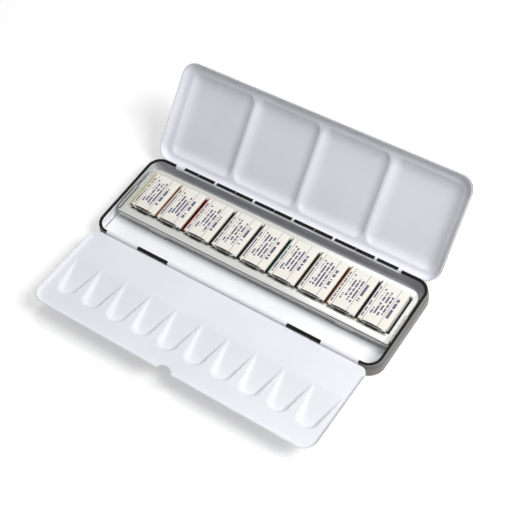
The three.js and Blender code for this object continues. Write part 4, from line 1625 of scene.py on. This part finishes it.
class PAINTBOX_OT_stage(bpy.types.Operator):
    """Adds the camera, the pale floor and the soft lamps"""

    bl_idname = "paintbox.stage"
    bl_label = "Stage"

    def execute(self, context):
        stage = context.scene.paintbox_stage
        scene = context.scene
        scene.view_settings.view_transform = "Standard"
        camera = bpy.data.cameras.new("Camera")
        camera.lens = stage.lens
        camera.sensor_width = 36
        camera.clip_start = 0.01
        eye = bpy.data.objects.new("Camera", camera)
        scene.collection.objects.link(eye)
        # The place and turn that a least-squares fit to the photo's edges gave
        right = Vector((0.81969567, 0.56112171, -0.11507143))
        up = Vector((-0.40336680, 0.70809789, 0.57956243))
        back = Vector((0.40668689, -0.42864882, 0.80676264))
        turn = Matrix((right, up, back)).transposed().to_4x4()
        spot = Vector((308.712, -326.239, 623.839)) * MM
        eye.matrix_world = Matrix.Translation(spot) @ turn
        scene.camera = eye
        bm = bmesh.new()
        bmesh.ops.create_grid(bm, x_segments=8, y_segments=8, size=stage.floor)
        material = bpy.data.materials.new("Floor White")
        tree, shader = cleared(material)
        cloud = noise(tree, own_place(tree), 2.0, 2.0)
        tone = blend(tree, cloud, (0.93, 0.93, 0.93, 1), (0.95, 0.95, 0.95, 1))
        tree.links.new(tone, shader.inputs["Base Color"])
        seen = tree.nodes.new("ShaderNodeLightPath").outputs["Is Camera Ray"]
        tree.links.new(seen, shader.inputs["Emission Color"])
        give(shader, Emission_Strength=0.3, Roughness=0.9, Specular_IOR_Level=0.0)
        floor = new_piece("Floor", bm, [material])
        world = bpy.data.worlds.new("Studio")
        scene.world = world
        world.use_nodes = True
        tree = world.node_tree
        tree.nodes.clear()
        output = tree.nodes.new("ShaderNodeOutputWorld")
        glow = tree.nodes.new("ShaderNodeBackground")
        plain = tree.nodes.new("ShaderNodeBackground")
        view = tree.nodes.new("ShaderNodeTexCoord").outputs["Generated"]
        parts = tree.nodes.new("ShaderNodeSeparateXYZ")
        tree.links.new(view, parts.inputs[0])
        height = sum_of(tree, "MAXIMUM", parts.outputs[2], 0)
        horizon = 0.08
        strength = sum_of(tree, "MULTIPLY_ADD", height, stage.sky - horizon, horizon)
        tree.links.new(strength, glow.inputs["Strength"])
        for light in (plain, glow):
            give(light, Color=(1, 1, 1, 1))
        path = tree.nodes.new("ShaderNodeLightPath").outputs
        seen = either(tree, path["Is Camera Ray"], path["Is Glossy Ray"], path["Is Transmission Ray"])
        pick = tree.nodes.new("ShaderNodeMixShader")
        tree.links.new(seen, pick.inputs[0])
        tree.links.new(glow.outputs[0], pick.inputs[1])
        tree.links.new(plain.outputs[0], pick.inputs[2])
        tree.links.new(pick.outputs[0], output.inputs[0])
        for name, power, size, direction in (
            ("Key", stage.key, 0.5, (0.675, 0.087, 0.732)),
            ("Top", stage.top, 0.34, (-0.17, 0.457, 0.873)),
        ):
            lamp = bpy.data.lights.new(name, "AREA")
            lamp.shape = "DISK"
            lamp.size = size
            lamp.energy = power
            light = bpy.data.objects.new(name, lamp)
            scene.collection.objects.link(light)
            aim = Vector(direction).normalized()
            place = Matrix.Translation(aim * stage.distance)
            light.matrix_world = place @ aim.to_track_quat("Z", "Y").to_matrix().to_4x4()
        return {"FINISHED"}


class PAINTBOX_PT_panel(bpy.types.Panel):
    """Lists the pieces of the paint box and their sizes"""

    bl_idname = "PAINTBOX_PT_panel"
    bl_label = "Paint Box"
    bl_space_type = "VIEW_3D"
    bl_region_type = "UI"
    bl_category = "Paint Box"

    def draw(self, context):
        for operator in OPERATORS:
            self.layout.operator(operator.bl_idname)
        for name, _kind in SETTINGS:
            group = getattr(context.scene, name)
            box = self.layout.box()
            for key in group.bl_rna.properties.keys():
                if key not in ("rna_type", "name"):
                    box.prop(group, key)


SETTINGS = (
    ("paintbox_tray", TraySizes),
    ("paintbox_lid", LidSizes),
    ("paintbox_flap", FlapSizes),
    ("paintbox_holder", HolderSizes),
    ("paintbox_pans", PanSizes),
    ("paintbox_finish", Finishes),
    ("paintbox_stage", StageSizes),
)

OPERATORS = (
    PAINTBOX_OT_stage,
    PAINTBOX_OT_tray,
    PAINTBOX_OT_lid,
    PAINTBOX_OT_palette,
    PAINTBOX_OT_holder,
    PAINTBOX_OT_pans,
)


def register():
    """Registers the settings, the operators and the panel."""
    for name, kind in SETTINGS:
        bpy.utils.register_class(kind)
        setattr(bpy.types.Scene, name, PointerProperty(type=kind))
    for kind in (*OPERATORS, PAINTBOX_PT_panel):
        bpy.utils.register_class(kind)


def unregister():
    """Takes them all out again."""
    for kind in reversed((*OPERATORS, PAINTBOX_PT_panel)):
        bpy.utils.unregister_class(kind)
    for name, kind in reversed(SETTINGS):
        delattr(bpy.types.Scene, name)
        bpy.utils.unregister_class(kind)


def main():
    """Builds every piece in order."""
    register()
    bpy.ops.paintbox.stage()
    bpy.ops.paintbox.tray()
    bpy.ops.paintbox.lid()
    bpy.ops.paintbox.palette()
    bpy.ops.paintbox.holder()
    bpy.ops.paintbox.pans()
    bpy.context.view_layer.update()


if __name__ == "__main__":
    main()
